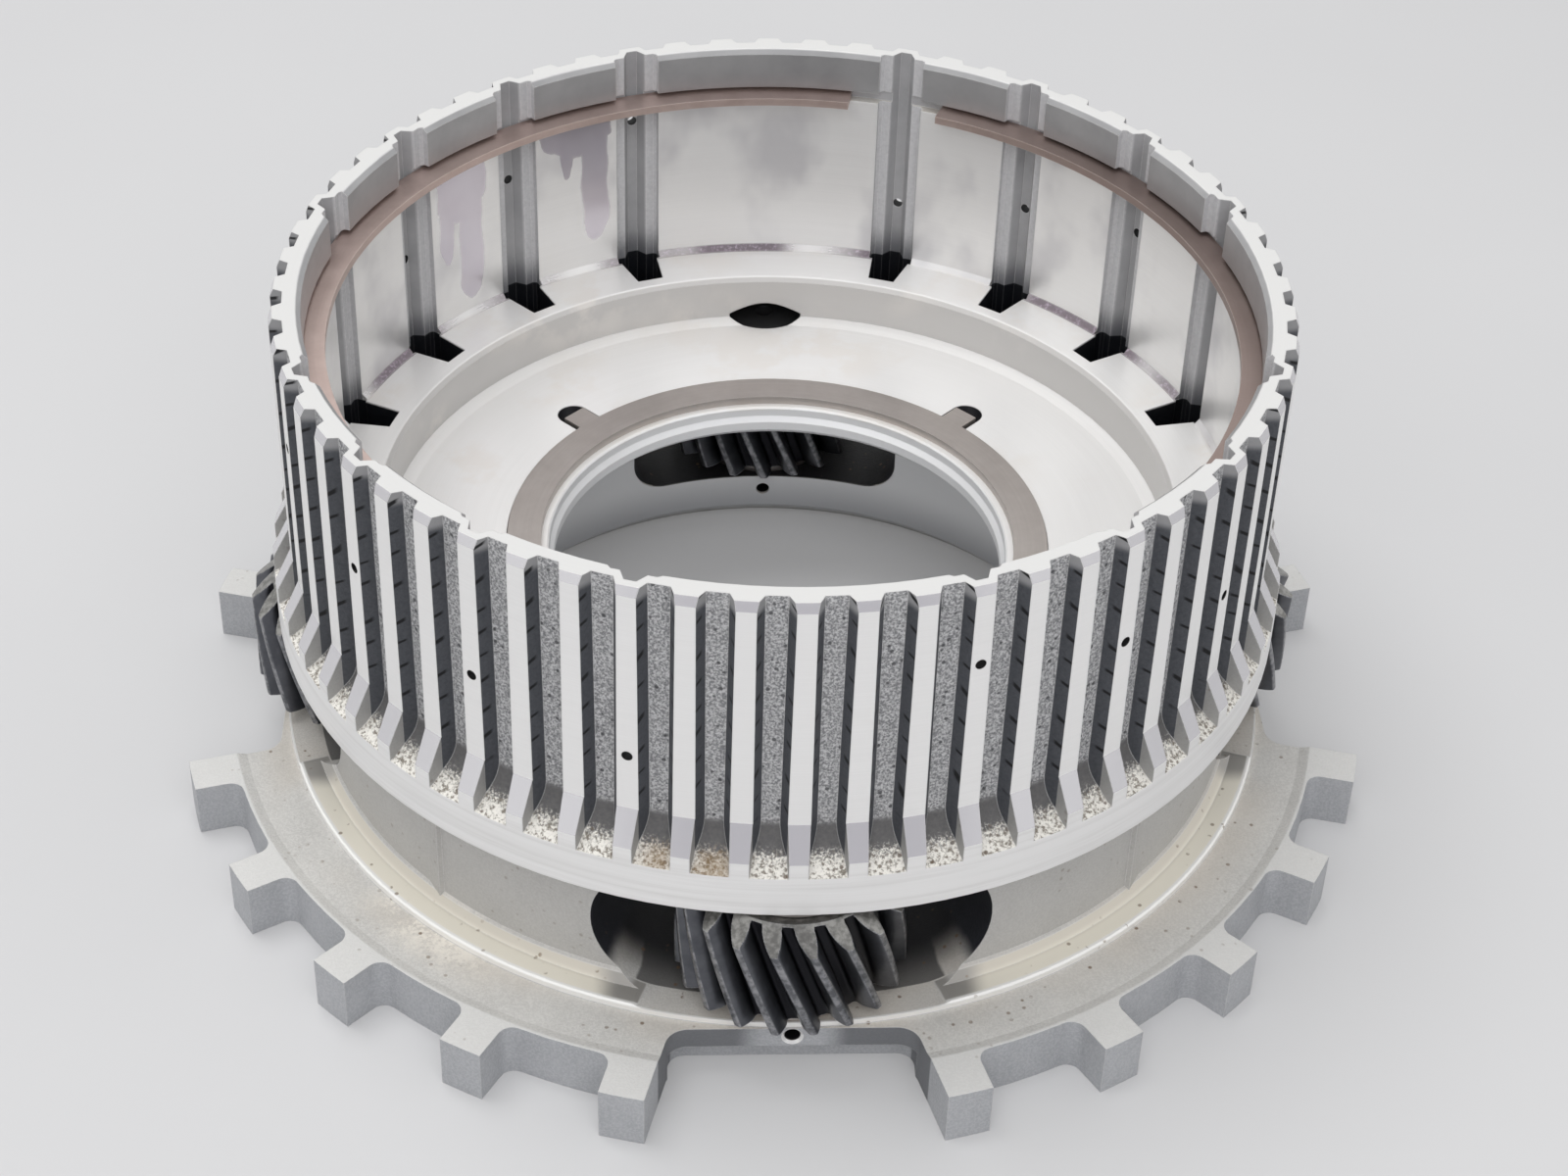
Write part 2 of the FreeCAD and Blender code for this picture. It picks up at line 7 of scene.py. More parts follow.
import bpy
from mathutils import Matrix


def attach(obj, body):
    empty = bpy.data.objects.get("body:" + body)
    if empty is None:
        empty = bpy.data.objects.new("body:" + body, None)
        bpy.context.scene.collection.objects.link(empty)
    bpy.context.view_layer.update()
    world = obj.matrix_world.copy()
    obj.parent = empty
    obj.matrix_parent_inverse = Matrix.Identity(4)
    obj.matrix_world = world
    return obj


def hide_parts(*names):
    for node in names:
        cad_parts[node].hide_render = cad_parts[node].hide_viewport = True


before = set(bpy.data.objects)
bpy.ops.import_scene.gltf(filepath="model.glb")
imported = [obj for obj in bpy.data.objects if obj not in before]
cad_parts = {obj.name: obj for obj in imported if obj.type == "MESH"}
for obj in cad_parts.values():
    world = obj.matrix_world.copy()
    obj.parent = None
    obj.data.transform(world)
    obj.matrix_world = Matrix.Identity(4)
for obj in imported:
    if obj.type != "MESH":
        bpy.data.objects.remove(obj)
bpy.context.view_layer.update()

import math

import bpy
from mathutils import Matrix, Vector

MM = 0.001

# Sizes of the casting that the materials follow, in millimetres

LAND_RADIUS = 76.0
BAND_RADIUS = 78.6
FLARE_TOP = 45.9
FLARE_BOTTOM = 40.7
BAND_BOTTOM = 31.2
SLOT_FLOOR_RADIUS = 74.0
RAMP_TOP = 45.2
RAMP_BOTTOM = 38.0
DRUM_INNER_RADIUS = 71.3
DRUM_FLOOR = 45.7
DRUM_TOP = 84.4
RIM_CHAMFER_AXIAL = 1.4
RIM_CHAMFER_RADIAL = 0.6
STEP_RADIUS = 61.6
WEB_TOP = 37.4
WALL_RADIUS = 73.6
SEAT_RADIUS = 78.6
SEAT_TOP = 9.9
WINDOW_FLOOR = 9.6
LOWER_BORE_RADIUS = 53.0
FLANGE_TOP = 9.1
PLATE_TOP = 8.6
LUG_ROOT_RADIUS = 87.9
HOLE_HEIGHT = 6.9
HOLE_RADIUS = 1.15
INNER_SHOULDER_RADIUS = 72.5
INNER_GROOVE_RADIUS = 74.2
INNER_SLOT_PITCH = 18.0
OUTER_SLOT_COUNT = 60
RING_TOP = 76.0
RING_BOTTOM = 75.8
BORE_TOP = 36.2
TAB_RECESS_LOW = 33.5
TAB_RECESS_RADII = (43.3, 50.0)
WINDOW_HALF_WIDTH = 29.0
OIL_HOLE_RADIUS = 0.88
OIL_HOLE_HEIGHTS = (50.0, 75.0)
NICKS_PER_MM = 0.21

MACHINED = ("skin", "rim", "drum_wall", "over_ring", "web", "seat", "bore", "hole_mouth")

# Each run of fluid down the drum's wall: its middle and half width in degrees, and its foot in mm

DRIPS = (
    (138.6, 1.2, 57.0),
    (134.3, 1.9, 48.5),
    (135.9, 4.2, 64.5),
    (118.4, 0.9, 64.5),
    (114.2, 1.8, 51.5),
    (117.0, 5.2, 68.5),
)

# Where a deposit and a stain lie: the middle, the half width and the soft edge in degrees

DEPOSIT_SECTOR = (-132.0, 7.0, 5.0)
STAIN_SECTOR = (-101.0, 5.0, 2.0)

# Colours of the casting's skin and of the shade painted on it, a pair where a pattern runs from
# one to the other

SKIN = ((0.48, 0.472, 0.455), (0.66, 0.65, 0.625))
SKIN_SPECKLE = (0.80, 0.79, 0.76)
# Painted shade: the colour that the skin's upright faces are darkened towards
UPRIGHT_SHADE = (0.40, 0.395, 0.385)
LUG_TOP = (0.74, 0.74, 0.73)
TANNED = (0.64, 0.57, 0.48)
DEPOSIT = (0.90, 0.86, 0.78)
# Painted shade: the lugs' upright sides, darker and bluer than their tops
SHADED_SIDE_SKIN = ((0.35, 0.363, 0.38), (0.50, 0.51, 0.53))
SIDE_SPECKLE = (0.72, 0.72, 0.73)
# Painted shade on the flange's upright faces between the lugs
CHORD_SIDE_SHADE = (0.13, 0.135, 0.145)
# Painted shade on the level floor inside the wall, under the windows
POCKET_SHADE = (0.11, 0.108, 0.105)
# Painted shade inside the windows: on their upright faces, and on their floor
WINDOW_SHADE = ((0.006, 0.007, 0.010), (0.045, 0.047, 0.056))
WINDOW_FLOOR_SHADE = (0.018, 0.018, 0.020)
DIRT = (0.16, 0.10, 0.055)

# Colours of its turned faces, what lies on them, and the light and shade painted on them

TURNED = ((0.87, 0.865, 0.855), (0.96, 0.955, 0.945))
TURNED_LINES = (0.78, 0.77, 0.76)
BAND_SCRATCHES = (0.66, 0.65, 0.63)
RIM = (0.64, 0.64, 0.63)
# Painted reflection: darker lilac clouds on the drum's inner wall
WALL_REFLECTIONS = (0.52, 0.51, 0.54)
# Painted shade on the rim's inner face above the snap ring
OVER_RING_SHADE = ((0.23, 0.23, 0.24), (0.45, 0.45, 0.455))
# Painted shade: the web's step wall darker than the turned faces round it
STEP_WALL_SHADE = (0.50, 0.485, 0.47)
# Painted reflection: the flare's darker lilac grey
FLARE_REFLECTION = (0.60, 0.59, 0.62)
# Painted shade at the seat ring's root, going to its cream
SEAT_SHADED_ROOT_TO_CREAM = ((0.66, 0.62, 0.54), (0.93, 0.89, 0.78))
# Greyer where the seat ring lies in front of the windows
SEAT_BEFORE_WINDOWS = (0.40, 0.385, 0.36)
# Painted highlight along the seat ring's outer edge
SEAT_EDGE_HIGHLIGHT = (0.97, 0.965, 0.94)
SEAT_DIRT = (0.22, 0.15, 0.09)
# Painted shade: the lower bore's wall, light above and darker downwards, and near-black at its
# foot
BORE_LIT_TO_SHADED = ((0.92, 0.93, 0.94), (0.50, 0.51, 0.53))
BORE_FOOT_SHADE = (0.07, 0.075, 0.09)
WEB_STAIN = (0.84, 0.80, 0.75)
FLUID = (0.50, 0.44, 0.53)
POOLED_FLUID = ((0.10, 0.06, 0.09), (0.45, 0.36, 0.46))
# Painted shade in the recesses beyond the washer's tabs
TAB_RECESS_SHADE = (0.035, 0.035, 0.04)
# Pale edges, partly wear and partly painted highlight
WORN_AND_HIGHLIT_EDGE = (0.93, 0.925, 0.915)
# Painted shade: near-black inside the drilled holes
HOLE_SHADE = (0.006, 0.006, 0.007)

# Colours in its slots, with shade painted on the outer slots' sides, the inner slots' feet and
# the notches

SLOT_FLOOR = ((0.23, 0.232, 0.24), (0.66, 0.66, 0.665))
SLOT_DOTS = (0.035, 0.035, 0.04)
# Painted shade on the outer slots' sides, and painted light towards the rim
SLOT_SIDE_SHADE = ((0.035, 0.039, 0.047), (0.12, 0.125, 0.138))
SLOT_SIDE_LIT_TOP = (0.33, 0.33, 0.335)
NICK = (0.004, 0.004, 0.005)
RAMP_DARK = ((0.085, 0.085, 0.09), (0.22, 0.215, 0.21))
# Bright marks where the ramps start, partly nicks and partly painted highlight
RAMP_START_NICKS_AND_HIGHLIGHT = (0.80, 0.79, 0.77)
RAMP_FLECKS = ((0.26, 0.23, 0.19), (0.97, 0.945, 0.885))
RAMP_DOTS = (0.12, 0.08, 0.05)
RAMP_STAIN = (0.27, 0.165, 0.06)
INNER_SLOT = ((0.46, 0.46, 0.475), (0.74, 0.74, 0.75))
INNER_GROOVE = ((0.28, 0.28, 0.29), (0.54, 0.54, 0.55))
# Painted shade at the inner slots' foot, and near-black in the notches below
INNER_FOOT_SHADE = (0.09, 0.094, 0.11)
NOTCH_SHADE = (0.008, 0.009, 0.012)

# Colours of the steel pieces, with painted highlights on edges and painted shade on the dowels
# and between the teeth

SPRING_STEEL = ((0.54, 0.41, 0.37), (0.80, 0.66, 0.61))
WASHER_STEEL = ((0.52, 0.475, 0.445), (0.68, 0.635, 0.605))
BEARING_STEEL = ((0.22, 0.22, 0.23), (0.34, 0.34, 0.35))
# Painted shade: near-black dowels, so the holes over them read dark
DOWEL_SHADE = ((0.010, 0.010, 0.012), (0.03, 0.03, 0.034))
# Painted highlight along the steel's edges
STEEL_EDGE_HIGHLIGHT = (0.46, 0.47, 0.50)
TOOTH_FLANK = ((0.055, 0.058, 0.067), (0.165, 0.17, 0.185))
# Painted shade between the teeth
TOOTH_SPACE_SHADE = (0.010, 0.010, 0.013)
TOOTH_TIP = ((0.13, 0.134, 0.145), (0.36, 0.36, 0.375))
TOOTH_BEVEL = ((0.17, 0.168, 0.16), (0.34, 0.335, 0.32))
# Pale tooth edges, partly wear and partly painted highlight
TOOTH_EDGE_WEAR_AND_HIGHLIGHT = (0.62, 0.63, 0.66)

# Gearing, in millimetres and degrees

PLANET_COUNT = 4
PLANET_TEETH = 19
NORMAL_MODULE = 1.52
HELIX_ANGLE = 20.0
PRESSURE_ANGLE = 20.0
TOOTH_THINNING = 0.08
ADDENDUM = 1.04
DEDENDUM = 1.25
CENTRE_DISTANCE = 66.3196
GEAR_BORE_RADIUS = 10.96
GEAR_BOTTOM = 11.75
GEAR_TOP = 30.25
ROOT_FILLET = 0.5
ROOT_FLARE = 0.042
TIP_ROUNDING = 0.16
BEVEL_RADIAL = 3.75
BEVEL_AXIAL = 3.1
BORE_CHAMFER = 0.5
SHARP_ANGLE = 28.0

FILLET_STEPS = 4
FLANK_STEPS = 12
HEIGHT_STEPS = 12
BEVEL_STEPS = 12

TRANSVERSE_MODULE = NORMAL_MODULE / math.cos(math.radians(HELIX_ANGLE))
PITCH_RADIUS = PLANET_TEETH * TRANSVERSE_MODULE / 2
TIP_RADIUS = PITCH_RADIUS + ADDENDUM * NORMAL_MODULE
ROOT_RADIUS = PITCH_RADIUS - DEDENDUM * NORMAL_MODULE

# Camera and floor, in metres and radians, with the lens in millimetres

LENS = 68.75
CAMERA_PLACE = (-0.02089, -0.37445, 0.32625)
CAMERA_TURN = (0.8964, -0.0262, -0.0382)
FLOOR_REACH = 6.0
FLOOR_CORNERS = ((-1, -1), (1, -1), (1, 1), (-1, 1))
FLOOR = ((0.50, 0.50, 0.508), (0.56, 0.56, 0.566))
FLOOR_GLOW = 0.10

# The room and its lamps. The greyer patch is given by its direction from the object

ROOM_AS_LIGHT = 0.60
ROOM_AS_SEEN = 0.97
GREY_PATCH = (0.06, -0.93, 0.36)
GREY_PATCH_ENDS = (0.72, 0.93)
GREY_PATCH_COLOUR = (0.46, 0.45, 0.49, 1.0)
SEEN_RAYS = ("Is Camera Ray", "Is Glossy Ray", "Is Transmission Ray")
LAMP_TARGET = (0, 0, 0.04)


def scaled(colour, share):
    return [min(1.0, c * share) for c in colour]


# Node graphs

class Graph:
    """One material's node graph, with short calls for the arithmetic between sockets."""

    def __init__(self, name):
        self.material = bpy.data.materials.new(name)
        self.material.use_nodes = True
        self.tree = self.material.node_tree
        self.tree.nodes.clear()
        self.shader = self.add("ShaderNodeBsdfPrincipled")
        output = self.add("ShaderNodeOutputMaterial")
        self.tree.links.new(self.shader.outputs[0], output.inputs["Surface"])
        self.coordinates = self.add("ShaderNodeTexCoord")

    def add(self, kind, **settings):
        node = self.tree.nodes.new(kind)
        for key, value in settings.items():
            setattr(node, key, value)
        return node

    def feed(self, socket, value):
        if isinstance(value, bpy.types.NodeSocket):
            self.tree.links.new(value, socket)
        elif hasattr(socket.default_value, "__len__") and hasattr(value, "__len__"):
            length = len(socket.default_value)
            socket.default_value = (tuple(value) + (1.0,))[:length]
        else:
            socket.default_value = value

    def set(self, **inputs):
        """Feeds the shader's own sockets, with underscores for the blanks in their names."""
        for key, value in inputs.items():
            self.feed(self.shader.inputs[key.replace("_", " ")], value)

    def math(self, operation, a, b=0.0, c=0.0, clamp=False):
        node = self.add("ShaderNodeMath", operation=operation, use_clamp=clamp)
        for socket, value in zip(node.inputs, (a, b, c)):
            self.feed(socket, value)
        return node.outputs[0]

    def plus(self, a, b):
        return self.math("ADD", a, b)

    def minus(self, a, b):
        return self.math("SUBTRACT", a, b)

    def times(self, a, *others):
        for other in others:
            a = self.math("MULTIPLY", a, other)
        return a

    def magnitude(self, a):
        return self.math("ABSOLUTE", a)

    def largest(self, a, *others):
        for other in others:
            a = self.math("MAXIMUM", a, other)
        return a

    def step(self, value, low, high):
        """0 up to low, 1 from high on, and smooth between. The other way round if low > high."""
        node = self.add("ShaderNodeMapRange", interpolation_type="SMOOTHSTEP")
        ends = (low, high, 0.0, 1.0) if low < high else (high, low, 1.0, 0.0)
        self.feed(node.inputs[0], value)
        for socket, end in zip(list(node.inputs)[1:5], ends):
            socket.default_value = end
        return node.outputs[0]

    def band(self, value, low, high, soft):
        """1 between low and high, and 0 outside, over a soft edge."""
        rise = self.step(value, low - soft, low + soft)
        fall = self.step(value, high + soft, high - soft)
        return self.times(rise, fall)

    def mix(self, factor, a, b):
        """A colour between a and b."""
        node = self.add("ShaderNodeMix", data_type="RGBA")
        self.feed(node.inputs[0], factor)
        self.feed(node.inputs[6], a)
        self.feed(node.inputs[7], b)
        return node.outputs[2]

    def blend(self, factor, a, b):
        """A number between a and b."""
        node = self.add("ShaderNodeMix", data_type="FLOAT")
        self.feed(node.inputs[0], factor)
        self.feed(node.inputs[2], a)
        self.feed(node.inputs[3], b)
        return node.outputs[0]

    def vector(self, x, y, z=0.0):
        node = self.add("ShaderNodeCombineXYZ")
        for socket, value in zip(node.inputs, (x, y, z)):
            self.feed(socket, value)
        return node.outputs[0]

    def split(self, vector):
        node = self.add("ShaderNodeSeparateXYZ")
        self.feed(node.inputs[0], vector)
        return node.outputs[0], node.outputs[1], node.outputs[2]

    def noise(self, vector, scale, detail=2.0, roughness=0.5):
        node = self.add("ShaderNodeTexNoise")
        self.feed(node.inputs["Vector"], vector)
        for key, value in (("Scale", scale), ("Detail", detail), ("Roughness", roughness)):
            node.inputs[key].default_value = value
        return node.outputs[0]

    def cells(self, vector, scale):
        node = self.add("ShaderNodeTexVoronoi")
        self.feed(node.inputs["Vector"], vector)
        node.inputs["Scale"].default_value = scale
        return node.outputs["Distance"]

    def position(self):
        """Object coordinates in millimetres."""
        node = self.add("ShaderNodeVectorMath", operation="SCALE")
        self.feed(node.inputs[0], self.coordinates.outputs["Object"])
        node.inputs["Scale"].default_value = 1 / MM
        return node.outputs[0]

    def edges(self, radius):
        """1 within about a radius (mm) of a sharp edge, and the rounded normal that shows it."""
        bevel = self.add("ShaderNodeBevel", samples=3)
        bevel.inputs["Radius"].default_value = radius * MM
        geometry = self.add("ShaderNodeNewGeometry")
        dot = self.add("ShaderNodeVectorMath", operation="DOT_PRODUCT")
        self.feed(dot.inputs[0], bevel.outputs[0])
        self.feed(dot.inputs[1], geometry.outputs["Normal"])
        return self.step(dot.outputs["Value"], 0.985, 0.90), bevel.outputs[0]

    def bump(self, height, distance, strength, normal):
        """The normal of a height from 0 to 1 over another, with its full depth in millimetres."""
        node = self.add("ShaderNodeBump")
        self.feed(node.inputs["Height"], height)
        node.inputs["Distance"].default_value = distance * MM
        self.feed(node.inputs["Strength"], strength)
        self.feed(node.inputs["Normal"], normal)
        return node.outputs[0]


class Around(Graph):
    """A graph with cylindrical coordinates about the carrier's axis."""

    def __init__(self, name):
        super().__init__(name)
        self.p = self.position()
        self.x, self.y, self.z = self.split(self.p)
        squares = self.plus(self.times(self.x, self.x), self.times(self.y, self.y))
        self.r = self.math("SQRT", squares)
        self.angle = self.math("ARCTAN2", self.y, self.x)
        self.degrees = self.math("DEGREES", self.angle)
        nx, ny, self.nz = self.split(self.coordinates.outputs["Normal"])
        out = self.plus(self.times(self.x, nx), self.times(self.y, ny))
        side = self.minus(self.times(self.x, ny), self.times(self.y, nx))
        self.n_out = self.math("DIVIDE", out, self.r)
        self.side = self.math("DIVIDE", side, self.r)
        self.n_side = self.magnitude(self.side)
        self.along = self.math("MINIMUM", self.magnitude(self.x), self.magnitude(self.y))

    def turned_lines(self, spacing, seed=0.0):
        """Fine lines left by turning: along z on upright walls, and along r on level faces."""
        level = self.step(self.magnitude(self.nz), 0.6, 0.8)
        across = self.blend(level, self.z, self.r)
        place = self.vector(
            self.times(across, 1 / spacing), self.times(self.angle, 1.2), self.plus(level, seed)
        )
        return self.noise(place, 1.0, detail=3.0, roughness=0.65)

    def sector(self, middle, half_width, soft):
        """1 within a half width of an angle in degrees, with a soft edge."""
        away = self.magnitude(self.minus(self.degrees, middle))
        return self.step(away, half_width + soft, half_width - soft)


# The casting

def side_zones(g):
    """The drum's outside: turned skin, flare and band, and the slots with their ramps."""
    fall = g.math("DIVIDE", g.minus(FLARE_TOP, g.z), FLARE_TOP - FLARE_BOTTOM, clamp=True)
    skin = g.plus(LAND_RADIUS, g.times(fall, BAND_RADIUS - LAND_RADIUS))
    chamfer = g.math("MAXIMUM", g.minus(g.z, DRUM_TOP - RIM_CHAMFER_AXIAL), 0.0)
    skin = g.minus(skin, g.times(chamfer, RIM_CHAMFER_RADIAL / RIM_CHAMFER_AXIAL))
    outside = g.times(
        g.step(g.z, BAND_BOTTOM - 0.2, BAND_BOTTOM + 0.1),
        g.step(g.r, SLOT_FLOOR_RADIUS - 0.15, SLOT_FLOOR_RADIUS - 0.1),
        g.step(g.n_out, 0.05, 0.2),
    )
    under_skin = g.minus(skin, g.r)
    in_slot = g.times(outside, g.step(under_skin, 0.03, 0.07))
    slot_side = g.times(in_slot, g.step(g.n_side, 0.4, 0.6))
    slot_floor = g.minus(in_slot, slot_side)
    skin_only = g.minus(outside, in_slot)
    return {
        "under_skin": under_skin,
        "slot_side": slot_side,
        "slot_floor": slot_floor,
        "ramp": g.times(slot_floor, g.step(g.z, RAMP_TOP + 0.3, RAMP_TOP - 1.5)),
        "skin": skin_only,
        "flare": g.times(skin_only, g.band(g.nz, 0.3, 0.6, 0.05)),
        "band": g.times(skin_only, g.step(g.z, FLARE_BOTTOM + 0.1, FLARE_BOTTOM - 0.1)),
    }


def inner_zones(g, up):
    """The drum's inside, the web and the bore."""
    before_groove = g.step(g.r, INNER_GROOVE_RADIUS + 0.6, INNER_GROOVE_RADIUS + 0.4)
    inner_slot = g.times(
        g.step(g.r, DRUM_INNER_RADIUS + 0.02, DRUM_INNER_RADIUS + 0.06),
        before_groove,
        g.step(g.z, RAMP_BOTTOM - 0.5, RAMP_BOTTOM),
        g.step(g.n_out, 0.1, 0.05),
        g.step(g.nz, 0.5, 0.3),
    )
    inside = g.times(g.step(g.z, DRUM_FLOOR - 0.2, DRUM_FLOOR + 0.1), g.step(g.n_out, 0.0, -0.3))
    notch = g.times(
        g.band(g.z, WEB_TOP + 0.2, DRUM_FLOOR - 0.25, 0.1),
        g.step(g.r, STEP_RADIUS + 1.0, STEP_RADIUS + 1.4),
        before_groove,
        g.step(g.n_out, 0.5, 0.3),
    )
    return {
        "notch": notch,
        "inner_slot": g.largest(inner_slot, notch),
        "drum_wall": g.largest(g.minus(inside, g.times(inside, inner_slot)), 0.0),
        "over_ring": g.times(
            g.band(g.z, RING_TOP, DRUM_TOP - 0.15, 0.1),
            g.step(g.n_out, -0.2, -0.5),
            g.step(g.r, STEP_RADIUS - 1.6, STEP_RADIUS - 0.6),
        ),
        "rim": g.times(up, g.step(g.z, DRUM_TOP - 0.2, DRUM_TOP - 0.1)),
        "web": g.times(
            g.band(g.z, WEB_TOP - 1.5, DRUM_FLOOR + 0.2, 0.1),
            g.step(g.r, DRUM_INNER_RADIUS + 0.7, DRUM_INNER_RADIUS + 0.2),
        ),
        "step_wall": g.times(
            g.band(g.z, WEB_TOP + 0.2, DRUM_FLOOR - 0.2, 0.1),
            g.step(g.n_out, -0.3, -0.6),
            g.step(g.r, STEP_RADIUS + 1.0, STEP_RADIUS + 0.6),
        ),
        "tab_recess": g.times(
            g.band(g.z, TAB_RECESS_LOW, WEB_TOP - 0.15, 0.05), g.band(g.r, *TAB_RECESS_RADII, 0.2)
        ),
        "bore": g.times(
            g.step(g.z, BORE_TOP + 0.1, BORE_TOP),
            g.step(g.n_out, -0.4, -0.6),
            g.step(g.r, LOWER_BORE_RADIUS + 3.2, LOWER_BORE_RADIUS + 0.3),
        ),
    }


def flange_zones(g, up):
    """The windows, the seat ring round the wall and the flange with its lugs."""
    upright = g.step(g.magnitude(g.nz), 0.5, 0.3)
    seat = g.times(
        g.band(g.r, WALL_RADIUS + 0.2, SEAT_RADIUS + 0.3, 0.15),
        g.band(g.z, PLATE_TOP + 0.1, SEAT_TOP + 1.2, 0.1),
        g.step(g.n_side, 0.5, 0.3),
    )
    on_seat = g.step(g.z, SEAT_TOP - 0.2, SEAT_TOP - 0.1)
    at_seat_edge = g.step(g.r, SEAT_RADIUS - 0.4, SEAT_RADIUS - 0.2)
    return {
        "seat": g.times(seat, g.largest(on_seat, at_seat_edge)),
        "in_window": g.times(
            g.band(g.z, WINDOW_FLOOR - 0.1, BAND_BOTTOM + 0.1, 0.05),
            g.band(g.r, LOWER_BORE_RADIUS + 0.3, WALL_RADIUS - 0.15, 0.1),
        ),
        "pocket": g.times(
            up,
            g.band(g.z, PLATE_TOP + 0.2, SEAT_TOP + 0.3, 0.1),
            g.step(g.r, WALL_RADIUS + 0.1, WALL_RADIUS - 0.1),
        ),
        "lug_top": g.times(up, g.step(g.r, LUG_ROOT_RADIUS - 0.8, LUG_ROOT_RADIUS - 0.2)),
        "beside_seat": g.times(up, g.step(g.r, LUG_ROOT_RADIUS - 1.5, SEAT_RADIUS + 0.5)),
        "lug_side": g.times(
            upright,
            g.step(g.z, FLANGE_TOP + 0.2, FLANGE_TOP),
            g.step(g.r, WALL_RADIUS + 0.4, WALL_RADIUS + 1.4),
        ),
        "chord": g.times(
            upright,
            g.step(g.z, FLANGE_TOP + 0.1, FLANGE_TOP),
            g.band(g.r, SEAT_RADIUS + 0.4, LUG_ROOT_RADIUS - 0.5, 0.2),
        ),
    }


def hole_zones(g):
    """The drilled holes at the dowels and the oil holes through the drum's inner slots."""
    from_hole = g.vector(g.along, g.minus(g.z, HOLE_HEIGHT))
    distance = g.add("ShaderNodeVectorMath", operation="LENGTH")
    g.feed(distance.inputs[0], from_hole)
    to_axis = distance.outputs["Value"]
    in_cross_hole = g.times(
        g.step(to_axis, HOLE_RADIUS + 0.05, HOLE_RADIUS + 0.01),
        g.band(g.r, LOWER_BORE_RADIUS + 0.5, SEAT_RADIUS - 0.2, 0.2),
    )
    turn = g.plus(g.times(g.degrees, 1 / INNER_SLOT_PITCH), 0.5)
    from_slot = g.minus(g.math("FRACT", turn), 0.5)
    across = g.magnitude(g.times(from_slot, g.r, math.radians(INNER_SLOT_PITCH)))
    in_oil_hole = g.times(
        g.step(across, OIL_HOLE_RADIUS + 0.07, OIL_HOLE_RADIUS),
        g.band(g.r, DRUM_INNER_RADIUS + 0.1, LAND_RADIUS - 0.06, 0.02),
        g.step(g.magnitude(g.n_out), 0.6, 0.4),
        g.band(g.z, *OIL_HOLE_HEIGHTS, 0.5),
    )
    return {
        "hole_mouth": g.times(
            g.band(to_axis, HOLE_RADIUS + 0.03, HOLE_RADIUS + 0.45, 0.03),
            g.band(g.r, SEAT_RADIUS - 0.4, SEAT_RADIUS + 0.3, 0.1),
        ),
        "in_hole": g.largest(in_cross_hole, in_oil_hole),
    }


def casting_zones(g):
    """Where each kind of surface lies on the casting, as masks from 0 to 1."""
    up = g.step(g.nz, 0.6, 0.8)
    zone = {"up": up}
    zone.update(side_zones(g))
    zone.update(inner_zones(g, up))
    zone.update(flange_zones(g, up))
    zone.update(hole_zones(g))
    machined = g.largest(*[zone[name] for name in MACHINED])
    zone["machined"] = g.minus(machined, g.times(machined, zone["inner_slot"]))
    return zone


def surface_patterns(g):
    dots = g.step(g.cells(g.p, 0.55), 0.22, 0.12)
    return {
        "grain": g.noise(g.p, 1.7, detail=4.0, roughness=0.7),
        "speckle": g.step(g.noise(g.p, 2.6, detail=3.0, roughness=0.75), 0.40, 0.62),
        "mottle": g.noise(g.p, 0.12, detail=4.0, roughness=0.6),
        "patches": g.noise(g.p, 0.045),
        "dots": dots,
        "pores": g.times(dots, g.step(g.noise(g.p, 0.3), 0.5, 0.6)),
        "lines": g.turned_lines(0.16),
        "wide_lines": g.turned_lines(1.3, seed=4.0),
    }


def slot_nicks(g, zone):
    """The dents that the lands' edges have picked up, about five millimetres apart."""
    slot = g.math("FLOOR", g.times(g.degrees, OUTER_SLOT_COUNT / 360.0))
    seed = g.plus(slot, g.times(g.math("SIGN", g.side), 0.37))
    chance = g.add("ShaderNodeTexWhiteNoise", noise_dimensions="1D")
    g.feed(chance.inputs["W"], seed)
    shift = g.noise(g.vector(g.times(g.z, 0.11), seed), 1.0, detail=1.0)
    slant = g.times(zone["under_skin"], 0.45)
    height = g.times(g.minus(g.z, slant), NICKS_PER_MM)
    along = g.plus(g.plus(height, chance.outputs["Value"]), g.times(shift, 1.4))
    place = g.magnitude(g.minus(g.math("FRACT", along), 0.5))
    return g.times(
        zone["slot_side"],
        g.step(place, 0.085, 0.035),
        g.step(zone["under_skin"], 1.5, 0.9),
        g.step(g.z, FLARE_TOP - 1.0, FLARE_TOP + 1.0),
    )


def drips(g):
    """The film of purple fluid that runs down the drum's wall from under the snap ring."""
    sway = g.noise(g.vector(g.times(g.z, 0.10), g.angle), 1.0, detail=1.0)
    wander = g.times(g.minus(sway, 0.5), 2.2)
    ragged = g.times(g.minus(g.noise(g.p, 0.35), 0.5), 2.4)
    film = None
    for middle, half_width, bottom in DRIPS:
        away = g.magnitude(g.minus(g.plus(g.degrees, wander), middle))
        rounding = g.math("DIVIDE", away, half_width)
        foot = g.plus(bottom, g.plus(g.times(rounding, rounding, 3.0), ragged))
        drip = g.times(
            g.step(away, half_width + 0.35, half_width - 0.15),
            g.step(g.minus(g.z, foot), -0.3, 0.5),
        )
        film = drip if film is None else g.largest(film, drip)
    return film


